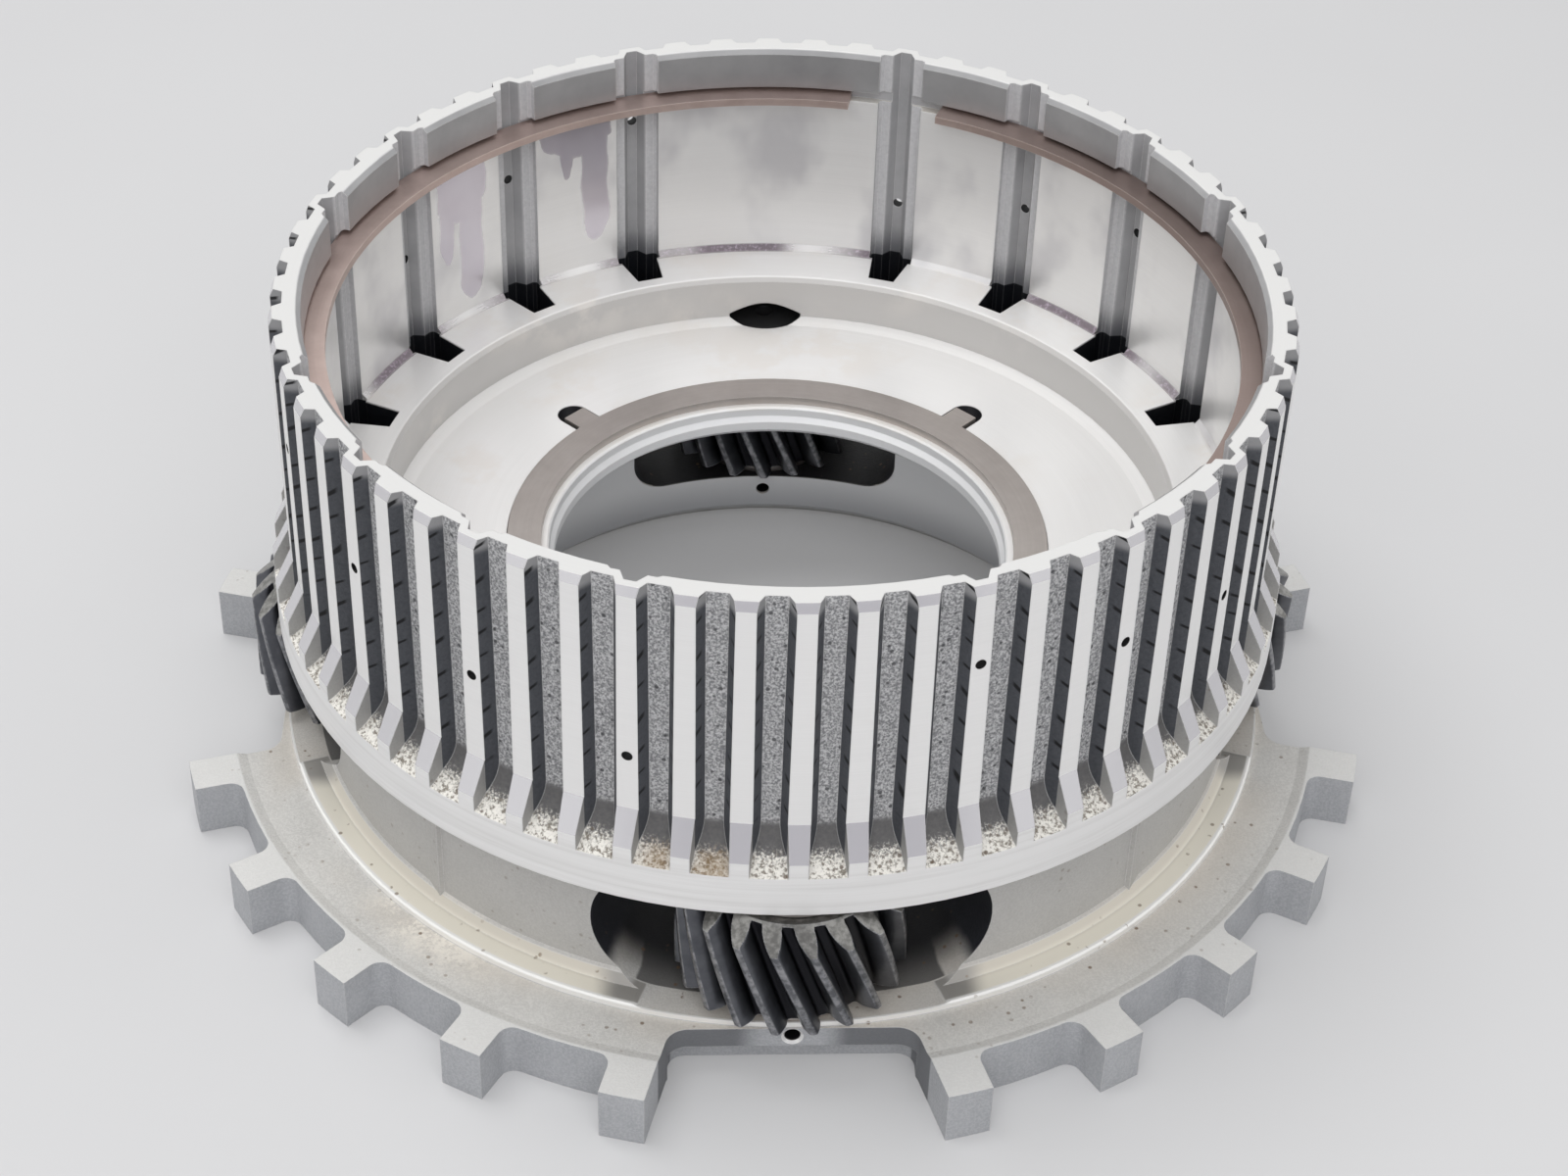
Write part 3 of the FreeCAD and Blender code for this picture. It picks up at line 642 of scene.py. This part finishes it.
def cast_skin(g, zone, pattern):
    """As-cast skin of the flange, its lugs, the wall and the windows, with painted shade on
    upright faces, the lugs' sides, the chord faces, the pockets and inside the windows.
    """
    grain, speckle, mottle = pattern["grain"], pattern["speckle"], pattern["mottle"]
    up = zone["up"]
    skin = g.mix(mottle, *SKIN)
    skin = g.mix(g.times(speckle, 0.35), skin, SKIN_SPECKLE)
    # Painted shade: upright faces of the skin darker than level ones
    skin = g.mix(g.minus(0.40, g.times(up, 0.40)), skin, UPRIGHT_SHADE)
    skin = g.mix(g.times(zone["lug_top"], 0.6), skin, LUG_TOP)
    tanned = g.times(zone["beside_seat"], g.step(pattern["patches"], 0.35, 0.6), 0.40)
    skin = g.mix(tanned, skin, TANNED)
    crust = g.step(g.plus(grain, mottle), 0.85, 1.15)
    deposit = g.times(g.sector(*DEPOSIT_SECTOR), zone["beside_seat"], crust)
    skin = g.mix(g.times(deposit, 0.75), skin, DEPOSIT)

    # Painted shade: the lugs' upright sides darker and bluer than the tops
    shaded_side_skin = g.mix(mottle, *SHADED_SIDE_SKIN)
    shaded_side_skin = g.mix(g.times(speckle, 0.3), shaded_side_skin, SIDE_SPECKLE)
    # Painted shade on the upright faces between the lugs
    shaded_side_skin = g.mix(g.times(zone["chord"], 0.85), shaded_side_skin, CHORD_SIDE_SHADE)
    skin = g.mix(zone["lug_side"], skin, shaded_side_skin)

    # Painted shade: the floor inside the wall darkened
    skin = g.mix(g.times(zone["pocket"], 0.9), skin, POCKET_SHADE)
    # Painted shade inside the windows, deepening inwards from the wall on level faces
    shade_depth = g.step(g.r, WALL_RADIUS + 0.5, WALL_RADIUS - 8.5)
    shade = g.times(zone["in_window"], g.blend(up, 1.0, shade_depth))
    window_shade_colour = g.mix(up, g.mix(grain, *WINDOW_SHADE), WINDOW_FLOOR_SHADE)
    skin = g.mix(shade, skin, window_shade_colour)
    dirty = g.blend(zone["beside_seat"], 0.35, 0.85)
    dirt = g.times(pattern["pores"], dirty, g.step(zone["lug_side"], 0.9, 0.2))
    return g.mix(dirt, skin, DIRT)


def seat_colour(g, pattern):
    """The seat ring: painted shade at its root, grey before the windows, cream, and a painted
    highlight at its edge.
    """
    # Painted shade at the root by the wall
    cream = g.mix(g.step(g.r, WALL_RADIUS + 1.0, WALL_RADIUS + 2.2), *SEAT_SHADED_ROOT_TO_CREAM)
    cream = g.mix(g.step(g.along, WINDOW_HALF_WIDTH, WINDOW_HALF_WIDTH - 4.0), cream, SEAT_BEFORE_WINDOWS)
    # Painted highlight at the outer edge
    cream = g.mix(g.step(g.r, SEAT_RADIUS - 0.9, SEAT_RADIUS - 0.5), cream, SEAT_EDGE_HIGHLIGHT)
    return g.mix(g.times(pattern["pores"], 0.7), cream, SEAT_DIRT)


def turned_faces(g, zone, pattern, film, fillet):
    """Turned faces, with their lines, the seat ring, the bore and what lies on them, with painted
    reflections on the drum's wall and the flare, and painted shade over the ring, on the step
    wall, down the bore and in the tab recesses.
    """
    mottle, wide_lines = pattern["mottle"], pattern["wide_lines"]
    face = g.mix(pattern["lines"], *TURNED)
    face = g.mix(g.times(wide_lines, 0.22), face, TURNED_LINES)
    scratches = g.times(zone["band"], g.step(wide_lines, 0.40, 0.80), 0.45)
    face = g.mix(scratches, face, BAND_SCRATCHES)
    face = g.mix(g.times(zone["rim"], 0.60), face, RIM)
    # Painted reflections: darker lilac clouds round the drum's inner wall
    reflection_place = g.vector(g.times(g.angle, 5.5), g.times(g.z, 0.05))
    painted_reflections = g.step(g.noise(reflection_place, 1.0, detail=3.0), 0.45, 0.72)
    face = g.mix(g.times(zone["drum_wall"], painted_reflections, 0.55), face, WALL_REFLECTIONS)
    # Painted shade on the rim's inner face above the ring
    face = g.mix(g.times(zone["over_ring"], 0.92), face, g.mix(mottle, *OVER_RING_SHADE))
    # Painted shade on the step wall
    face = g.mix(g.times(zone["step_wall"], 0.75), face, STEP_WALL_SHADE)
    # Painted reflection: the flare darker lilac grey
    face = g.mix(g.times(zone["flare"], 0.8), face, FLARE_REFLECTION)
    face = g.mix(zone["seat"], face, seat_colour(g, pattern))

    # Painted shade: the bore darker towards the floor, and near-black at its foot
    bore = g.mix(g.step(g.z, 12.0, 2.0), *BORE_LIT_TO_SHADED)
    bore = g.mix(g.step(g.z, 1.6, 0.9), bore, BORE_FOOT_SHADE)
    face = g.mix(zone["bore"], face, bore)

    patches = g.step(pattern["patches"], 0.42, 0.62)
    stained = g.times(zone["web"], patches, g.step(mottle, 0.42, 0.6), 0.5)
    face = g.mix(stained, face, WEB_STAIN)
    face = g.mix(g.times(film, 0.62), face, FLUID)
    pooled = g.mix(g.step(pattern["grain"], 0.5, 0.7), *POOLED_FLUID)
    face = g.mix(g.times(fillet, 0.85), face, pooled)
    # Painted shade in the recesses beyond the washer's tabs
    return g.mix(zone["tab_recess"], face, TAB_RECESS_SHADE)


def outer_slots(g, zone, pattern, colour):
    """Speckled floors, ramps that end in bright flecks, bright marks where the ramps start that
    are partly nicks and partly painted highlight, and sides in painted shade, lighter near the
    rim, with nicks.
    """
    grain, speckle = pattern["grain"], pattern["speckle"]
    dots = g.times(pattern["dots"], 0.8)
    floor = g.mix(dots, g.mix(speckle, *SLOT_FLOOR), SLOT_DOTS)
    colour = g.mix(zone["slot_floor"], colour, floor)

    flecks = g.mix(dots, g.mix(g.step(grain, 0.38, 0.54), *RAMP_FLECKS), RAMP_DOTS)
    stain = g.times(g.sector(*STAIN_SECTOR), g.step(pattern["mottle"], 0.36, 0.52), 0.75)
    stain = g.times(stain, g.minus(1.0, g.times(speckle, 0.45)))
    flecks = g.mix(stain, flecks, RAMP_STAIN)
    ramp_end = g.step(g.z, RAMP_BOTTOM + 4.4, RAMP_BOTTOM + 0.5)
    share = g.step(g.plus(g.times(ramp_end, 0.85), g.times(speckle, 0.35)), 0.45, 0.95)
    # Bright marks where the ramps start, partly nicks and partly painted highlight
    ramp_start_nicks_and_highlight = g.times(g.step(g.z, RAMP_TOP - 0.9, RAMP_TOP - 0.3), speckle, 0.6)
    ramp = g.mix(ramp_start_nicks_and_highlight, g.mix(grain, *RAMP_DARK), RAMP_START_NICKS_AND_HIGHLIGHT)
    colour = g.mix(zone["ramp"], colour, g.mix(share, ramp, flecks))

    # Painted shade on the slot sides, lighter near the rim
    near_rim = g.step(g.z, DRUM_TOP - 2.6, DRUM_TOP - 1.2)
    side = g.mix(near_rim, g.mix(grain, *SLOT_SIDE_SHADE), SLOT_SIDE_LIT_TOP)
    side = g.mix(slot_nicks(g, zone), side, NICK)
    return g.mix(zone["slot_side"], colour, side)


def inner_slots(g, zone, pattern, colour):
    """Grey slots, darker in the groove, with painted shade towards the foot and near-black
    painted shade in the openings below.
    """
    in_groove = g.step(g.r, INNER_SHOULDER_RADIUS + 0.15, INNER_SHOULDER_RADIUS + 0.5)
    slot = g.mix(pattern["grain"], *INNER_SLOT)
    slot = g.mix(in_groove, slot, g.mix(pattern["mottle"], *INNER_GROOVE))
    # Painted shade towards the slots' foot, and near-black in the notches below
    foot = g.step(g.z, DRUM_FLOOR + 6.0, DRUM_FLOOR)
    slot = g.mix(g.times(foot, 0.70), slot, INNER_FOOT_SHADE)
    slot = g.mix(zone["notch"], slot, NOTCH_SHADE)
    return g.mix(zone["inner_slot"], colour, slot)


def casting_material():
    g = Around("cast_aluminium")
    edge, rounded = g.edges(0.22)
    zone = casting_zones(g)
    pattern = surface_patterns(g)
    machined = zone["machined"]
    film = g.times(zone["drum_wall"], drips(g), g.step(g.z, RING_BOTTOM, RING_BOTTOM - 0.2))
    pools = g.noise(g.vector(g.times(g.angle, 2.2), 0.0), 1.0)
    fillet = g.times(
        g.band(g.z, DRUM_FLOOR - 0.1, DRUM_FLOOR + 0.95, 0.15),
        g.band(g.r, DRUM_INNER_RADIUS - 1.1, DRUM_INNER_RADIUS + 0.3, 0.15),
        g.step(pools, 0.42, 0.55),
    )

    turned = turned_faces(g, zone, pattern, film, fillet)
    colour = g.mix(machined, cast_skin(g, zone, pattern), turned)
    colour = outer_slots(g, zone, pattern, colour)
    colour = inner_slots(g, zone, pattern, colour)
    # Edges paler, partly wear and partly painted highlight, weaker where shade is painted in the
    # windows and notches
    shaded_zone = g.largest(zone["in_window"], zone["notch"])
    edge_wear_and_highlight = g.times(edge, g.minus(1.0, g.times(shaded_zone, 0.8)), 0.65)
    colour = g.mix(edge_wear_and_highlight, colour, WORN_AND_HIGHLIT_EDGE)
    # Painted shade: the inside of the cross holes and oil holes near-black
    colour = g.mix(zone["in_hole"], colour, HOLE_SHADE)

    rough_cast = g.plus(0.52, g.times(pattern["grain"], 0.15))
    rough_turned = g.plus(0.26, g.times(pattern["lines"], 0.16))
    rough = g.blend(g.largest(film, fillet), g.blend(machined, rough_cast, rough_turned), 0.12)
    plain = g.largest(zone["web"], zone["seat"], zone["bore"])
    relief = g.plus(g.times(pattern["grain"], 0.6), g.times(pattern["speckle"], 0.4))
    depth = g.blend(machined, 0.5, 0.05)
    g.set(
        Base_Color=colour,
        Roughness=g.blend(zone["flare"], rough, 0.18),
        Metallic=g.blend(machined, 0.15, g.blend(plain, 0.50, 0.30)),
        Normal=g.bump(relief, 0.10, depth, rounded),
    )
    return g.material


# Rings and washers

def ring_material(name, dark, light, roughness, spacing=0.3, shade_towards_x=0.0):
    """Turned steel between a dark and a light colour, with painted shade that darkens it towards
    +X by the given share, and a painted highlight along its edges.
    """
    g = Around(name)
    edge, rounded = g.edges(0.15)
    lines = g.turned_lines(spacing)
    mottle = g.noise(g.p, 0.25, detail=4.0, roughness=0.65)
    colour = g.mix(mottle, dark, light)
    colour = g.mix(g.times(lines, 0.35), colour, scaled(dark, 0.7))
    # Painted shade: darker towards +X
    towards_x = g.step(g.math("DIVIDE", g.x, g.r), 0.2, 0.9)
    colour = g.mix(g.times(towards_x, shade_towards_x), colour, scaled(dark, 0.35))
    # Painted highlight along the edges
    colour = g.mix(g.times(edge, 0.5), colour, scaled(light, 1.35))
    g.set(
        Base_Color=colour,
        Metallic=0.9,
        Roughness=g.plus(roughness, g.times(mottle, 0.12)),
        Normal=g.bump(lines, 0.02, 0.4, rounded),
    )
    return g.material


# Steel of the gears, pins and rollers

def steel_material(name, dark, light, roughness):
    g = Graph(name)
    p = g.position()
    edge, rounded = g.edges(0.16)
    grain = g.noise(p, 1.1, detail=4.0, roughness=0.6)
    colour = g.mix(g.noise(p, 0.22, detail=3.0), dark, light)
    # Painted highlight along the edges
    colour = g.mix(g.times(edge, 0.7), colour, STEEL_EDGE_HIGHLIGHT)
    g.set(
        Base_Color=colour,
        Metallic=0.9,
        Roughness=g.plus(roughness, g.times(grain, 0.12)),
        Normal=g.bump(grain, 0.02, 0.4, rounded),
    )
    return g.material


def gear_material():
    """Dark hardened teeth with painted shade between them, pale edges that are partly wear and
    partly painted highlight, and a bare bevel on top.
    """
    g = Graph("gear_steel")
    p = g.position()
    x, y, _ = g.split(p)
    x, y = g.magnitude(x), g.magnitude(y)
    outwards = g.minus(g.largest(x, y), CENTRE_DISTANCE)
    along = g.math("MINIMUM", x, y)
    radius = g.math("SQRT", g.plus(g.times(outwards, outwards), g.times(along, along)))
    edge, rounded = g.edges(0.20)
    grain = g.noise(p, 1.1, detail=4.0, roughness=0.6)
    mottle = g.noise(p, 0.35, detail=3.0, roughness=0.6)
    scuffed = g.step(g.plus(grain, g.times(mottle, 0.6)), 0.62, 1.0)
    # Painted shade in the spaces between the teeth
    space_shade = g.step(radius, ROOT_RADIUS + 1.6, ROOT_RADIUS + 0.2)
    colour = g.mix(space_shade, g.mix(mottle, *TOOTH_FLANK), TOOTH_SPACE_SHADE)
    on_tip = g.step(radius, TIP_RADIUS - 0.22, TIP_RADIUS - 0.10)
    colour = g.mix(g.times(on_tip, 0.9), colour, g.mix(scuffed, *TOOTH_TIP))
    slope = g.magnitude(g.split(g.coordinates.outputs["Normal"])[2])
    colour = g.mix(g.step(slope, 0.55, 0.68), colour, g.mix(scuffed, *TOOTH_BEVEL))
    # Pale edges, partly wear and partly painted highlight
    tooth_edge_wear_and_highlight = g.times(edge, g.plus(0.35, g.times(scuffed, 0.5)))
    colour = g.mix(tooth_edge_wear_and_highlight, colour, TOOTH_EDGE_WEAR_AND_HIGHLIGHT)
    g.set(
        Base_Color=colour,
        Metallic=0.85,
        Roughness=g.plus(0.24, g.times(grain, 0.14)),
        Normal=g.bump(grain, 0.02, 0.4, rounded),
    )
    return g.material


CASTING = casting_material()
# The snap ring with painted shade towards +X
SNAP_RING = ring_material("spring_steel", *SPRING_STEEL, 0.34, shade_towards_x=0.65)
WASHER = ring_material("washer_steel", *WASHER_STEEL, 0.38, spacing=0.5)
GEAR = gear_material()
BEARING = steel_material("bearing_steel", *BEARING_STEEL, 0.25)
# Dowels in painted shade
DOWEL = steel_material("dowel_in_shade", *DOWEL_SHADE, 0.45)

NODE_MATERIALS = {
    "carrier_drum": CASTING,
    "snap_ring": SNAP_RING,
    "thrust_washer": WASHER,
    "planet_gear": GEAR,
    "planet_washer": WASHER,
    "planet_pin": BEARING,
    "needle_rollers": BEARING,
    "pin_dowel": DOWEL,
}


# Planet gears, with full involute flanks in the place of the CAD gears' straight steps

def involute(angle):
    return math.tan(angle) - angle


def tooth_half_angle(radius):
    pressure = math.atan(
        math.tan(math.radians(PRESSURE_ANGLE)) / math.cos(math.radians(HELIX_ANGLE))
    )
    base_radius = PITCH_RADIUS * math.cos(pressure)
    at_pitch = (math.pi * TRANSVERSE_MODULE / 2 - TOOTH_THINNING) / (2 * PITCH_RADIUS)
    at_base = at_pitch + involute(pressure)
    if radius <= base_radius:
        return at_base
    return at_base - involute(math.acos(base_radius / radius))


def half_tooth():
    """One flank as (radius, angle from the tooth's middle), from mid space to mid tip."""
    points = []
    fillet_top = ROOT_RADIUS + ROOT_FILLET
    space_middle = math.pi / PLANET_TEETH
    fillet_start = tooth_half_angle(ROOT_RADIUS) + ROOT_FLARE
    for share in (0.0, 0.5):
        points.append((ROOT_RADIUS, space_middle + share * (fillet_start - space_middle)))
    for k in range(FILLET_STEPS):
        turn = k / FILLET_STEPS * math.pi / 2
        radius = fillet_top - ROOT_FILLET * math.cos(turn)
        points.append((radius, tooth_half_angle(ROOT_RADIUS) + ROOT_FLARE * (1 - math.sin(turn))))
    flank_top = TIP_RADIUS - TIP_ROUNDING
    for k in range(FLANK_STEPS + 1):
        radius = fillet_top + k / FLANK_STEPS * (flank_top - fillet_top)
        points.append((radius, tooth_half_angle(radius)))
    at_tip = tooth_half_angle(TIP_RADIUS)
    corner = TIP_ROUNDING / TIP_RADIUS
    points.append((TIP_RADIUS - TIP_ROUNDING * 0.3, at_tip - corner * 0.3))
    points.append((TIP_RADIUS, at_tip - corner))
    points.append((TIP_RADIUS, at_tip * 0.4))
    return points


def gear_ring(height):
    """The gear's outline at one height, as (x, y, z) in millimetres about its own axis."""
    cut = max(0.0, BEVEL_RADIAL * (1 - (GEAR_TOP - height) / BEVEL_AXIAL))
    reach = TIP_RADIUS - cut
    half = [(min(r, reach), a) for r, a in half_tooth()]
    twist = -(height - GEAR_BOTTOM) * math.tan(math.radians(HELIX_ANGLE)) / PITCH_RADIUS
    outline = []
    for tooth in range(PLANET_TEETH):
        middle = (tooth + 0.5) * 2 * math.pi / PLANET_TEETH + twist
        outline += [(r, middle - a) for r, a in half]
        outline += [(r, middle + a) for r, a in reversed(half)][:-1]
    return [(r * math.cos(a), r * math.sin(a), height) for r, a in outline]


def gear_heights():
    """Evenly up the straight teeth, then closer through the bevel at the top."""
    straight = GEAR_TOP - GEAR_BOTTOM - BEVEL_AXIAL
    heights = [GEAR_BOTTOM + straight * k / HEIGHT_STEPS for k in range(HEIGHT_STEPS + 1)]
    for k in range(1, BEVEL_STEPS + 1):
        heights.append(GEAR_TOP - BEVEL_AXIAL * (1 - k / BEVEL_STEPS))
    return heights


def bore_ring(outline, radius, rise):
    """An outline drawn in to a radius and moved along the axis."""
    ring = []
    for x, y, z in outline:
        scale = radius / math.hypot(x, y)
        ring.append((x * scale, y * scale, z + rise))
    return ring


def gear_mesh():
    """A closed gear: bore, lower face, toothed side and upper face, ring by ring."""
    rings = [gear_ring(height) for height in gear_heights()]
    low, high = rings[0], rings[-1]
    closed = [
        bore_ring(low, GEAR_BORE_RADIUS, BORE_CHAMFER),
        bore_ring(low, GEAR_BORE_RADIUS + BORE_CHAMFER, 0),
        *rings,
        bore_ring(high, GEAR_BORE_RADIUS + BORE_CHAMFER, 0),
        bore_ring(high, GEAR_BORE_RADIUS, -BORE_CHAMFER),
    ]
    count = len(low)
    points = []
    faces = []
    for level, ring in enumerate(closed):
        points += [((x + CENTRE_DISTANCE) * MM, y * MM, z * MM) for x, y, z in ring]
        here = level * count
        above = (level + 1) % len(closed) * count
        for k in range(count):
            after = (k + 1) % count
            faces.append((here + k, here + after, above + after, above + k))
    mesh = bpy.data.meshes.new("planet_gear")
    mesh.from_pydata(points, [], faces)
    mesh.polygons.foreach_set("use_smooth", [True] * len(faces))
    mesh.set_sharp_from_angle(angle=math.radians(SHARP_ANGLE))
    mesh.materials.append(GEAR)
    return mesh


def cut_gears():
    first = gear_mesh()
    for index in range(PLANET_COUNT):
        mesh = first.copy()
        mesh.transform(Matrix.Rotation(index * 2 * math.pi / PLANET_COUNT, 4, "Z"))
        gear = bpy.data.objects.new("cut_gear_%d" % (index + 1), mesh)
        bpy.context.scene.collection.objects.link(gear)
        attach(gear, "planet_%d" % (index + 1))
        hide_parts("planet_gear_%d" % (index + 1))


def dress_nodes():
    for name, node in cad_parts.items():
        kind = next(key for key in NODE_MATERIALS if name.startswith(key))
        node.data.materials.clear()
        node.data.materials.append(NODE_MATERIALS[kind])


# Camera, floor and light

def look_through_camera():
    data = bpy.data.cameras.new("camera")
    data.sensor_width = 36.0
    data.lens = LENS
    camera = bpy.data.objects.new("camera", data)
    bpy.context.scene.collection.objects.link(camera)
    camera.location = CAMERA_PLACE
    camera.rotation_euler = CAMERA_TURN
    bpy.context.scene.camera = camera


def lay_floor():
    mesh = bpy.data.meshes.new("floor")
    corners = [(x * FLOOR_REACH, y * FLOOR_REACH, 0) for x, y in FLOOR_CORNERS]
    mesh.from_pydata(corners, [], [(0, 1, 2, 3)])
    floor = bpy.data.objects.new("floor", mesh)
    bpy.context.scene.collection.objects.link(floor)
    g = Graph("floor")
    soft = g.noise(g.position(), 0.006, detail=3.0)
    paths = g.add("ShaderNodeLightPath").outputs
    seen = g.largest(*[paths[name] for name in SEEN_RAYS])
    g.set(
        Base_Color=g.mix(soft, *FLOOR),
        Roughness=0.55,
        Specular_IOR_Level=0.2,
        Emission_Color=(1.0, 1.0, 1.0),
        Emission_Strength=g.times(seen, FLOOR_GLOW),
    )
    mesh.materials.append(g.material)


def light_world():
    """A white room with one greyer patch, dimmer as light than as a sight."""
    world = bpy.data.worlds.new("world")
    bpy.context.scene.world = world
    world.use_nodes = True
    tree = world.node_tree
    background = tree.nodes["Background"]

    def add(kind, *feeds, **settings):
        node = tree.nodes.new(kind)
        for key, value in settings.items():
            setattr(node, key, value)
        for socket, source in zip(node.inputs, feeds):
            tree.links.new(source, socket)
        return node.outputs

    direction = add("ShaderNodeTexCoord")["Generated"]
    facing = add("ShaderNodeVectorMath", direction, operation="DOT_PRODUCT")["Value"]
    facing.node.inputs[1].default_value = GREY_PATCH
    room = add("ShaderNodeValToRGB", facing)[0]
    ramp = room.node.color_ramp
    ramp.interpolation = "EASE"
    for element, position in zip(ramp.elements, GREY_PATCH_ENDS):
        element.position = position
    ramp.elements[0].color = (1.0, 1.0, 1.0, 1.0)
    ramp.elements[1].color = GREY_PATCH_COLOUR
    tree.links.new(room, background.inputs["Color"])
    paths = add("ShaderNodeLightPath")
    camera, glossy, transmission = [paths[name] for name in SEEN_RAYS]
    seen = add("ShaderNodeMath", camera, glossy, operation="MAXIMUM")[0]
    seen = add("ShaderNodeMath", seen, transmission, operation="MAXIMUM")[0]
    strength = add("ShaderNodeMapRange", seen)[0]
    strength.node.inputs["To Min"].default_value = ROOM_AS_LIGHT
    strength.node.inputs["To Max"].default_value = ROOM_AS_SEEN
    tree.links.new(strength, background.inputs["Strength"])


def hang_lamp(name, place, size, power):
    """A round lamp over the object that metal doesn't mirror."""
    data = bpy.data.lights.new(name, "AREA")
    data.shape = "DISK"
    data.size = size
    data.energy = power
    lamp = bpy.data.objects.new(name, data)
    bpy.context.scene.collection.objects.link(lamp)
    lamp.location = place
    facing = Vector(LAMP_TARGET) - Vector(place)
    lamp.rotation_euler = facing.to_track_quat("-Z", "Y").to_euler()
    lamp.visible_glossy = False


dress_nodes()
cut_gears()
look_through_camera()
lay_floor()
light_world()
hang_lamp("lamp_above", (-0.30, 0.22, 1.2), 0.8, 6.2)
hang_lamp("lamp_front", (0.0, -0.85, 0.85), 1.2, 6.6)

bpy.context.scene.view_settings.view_transform = "Standard"
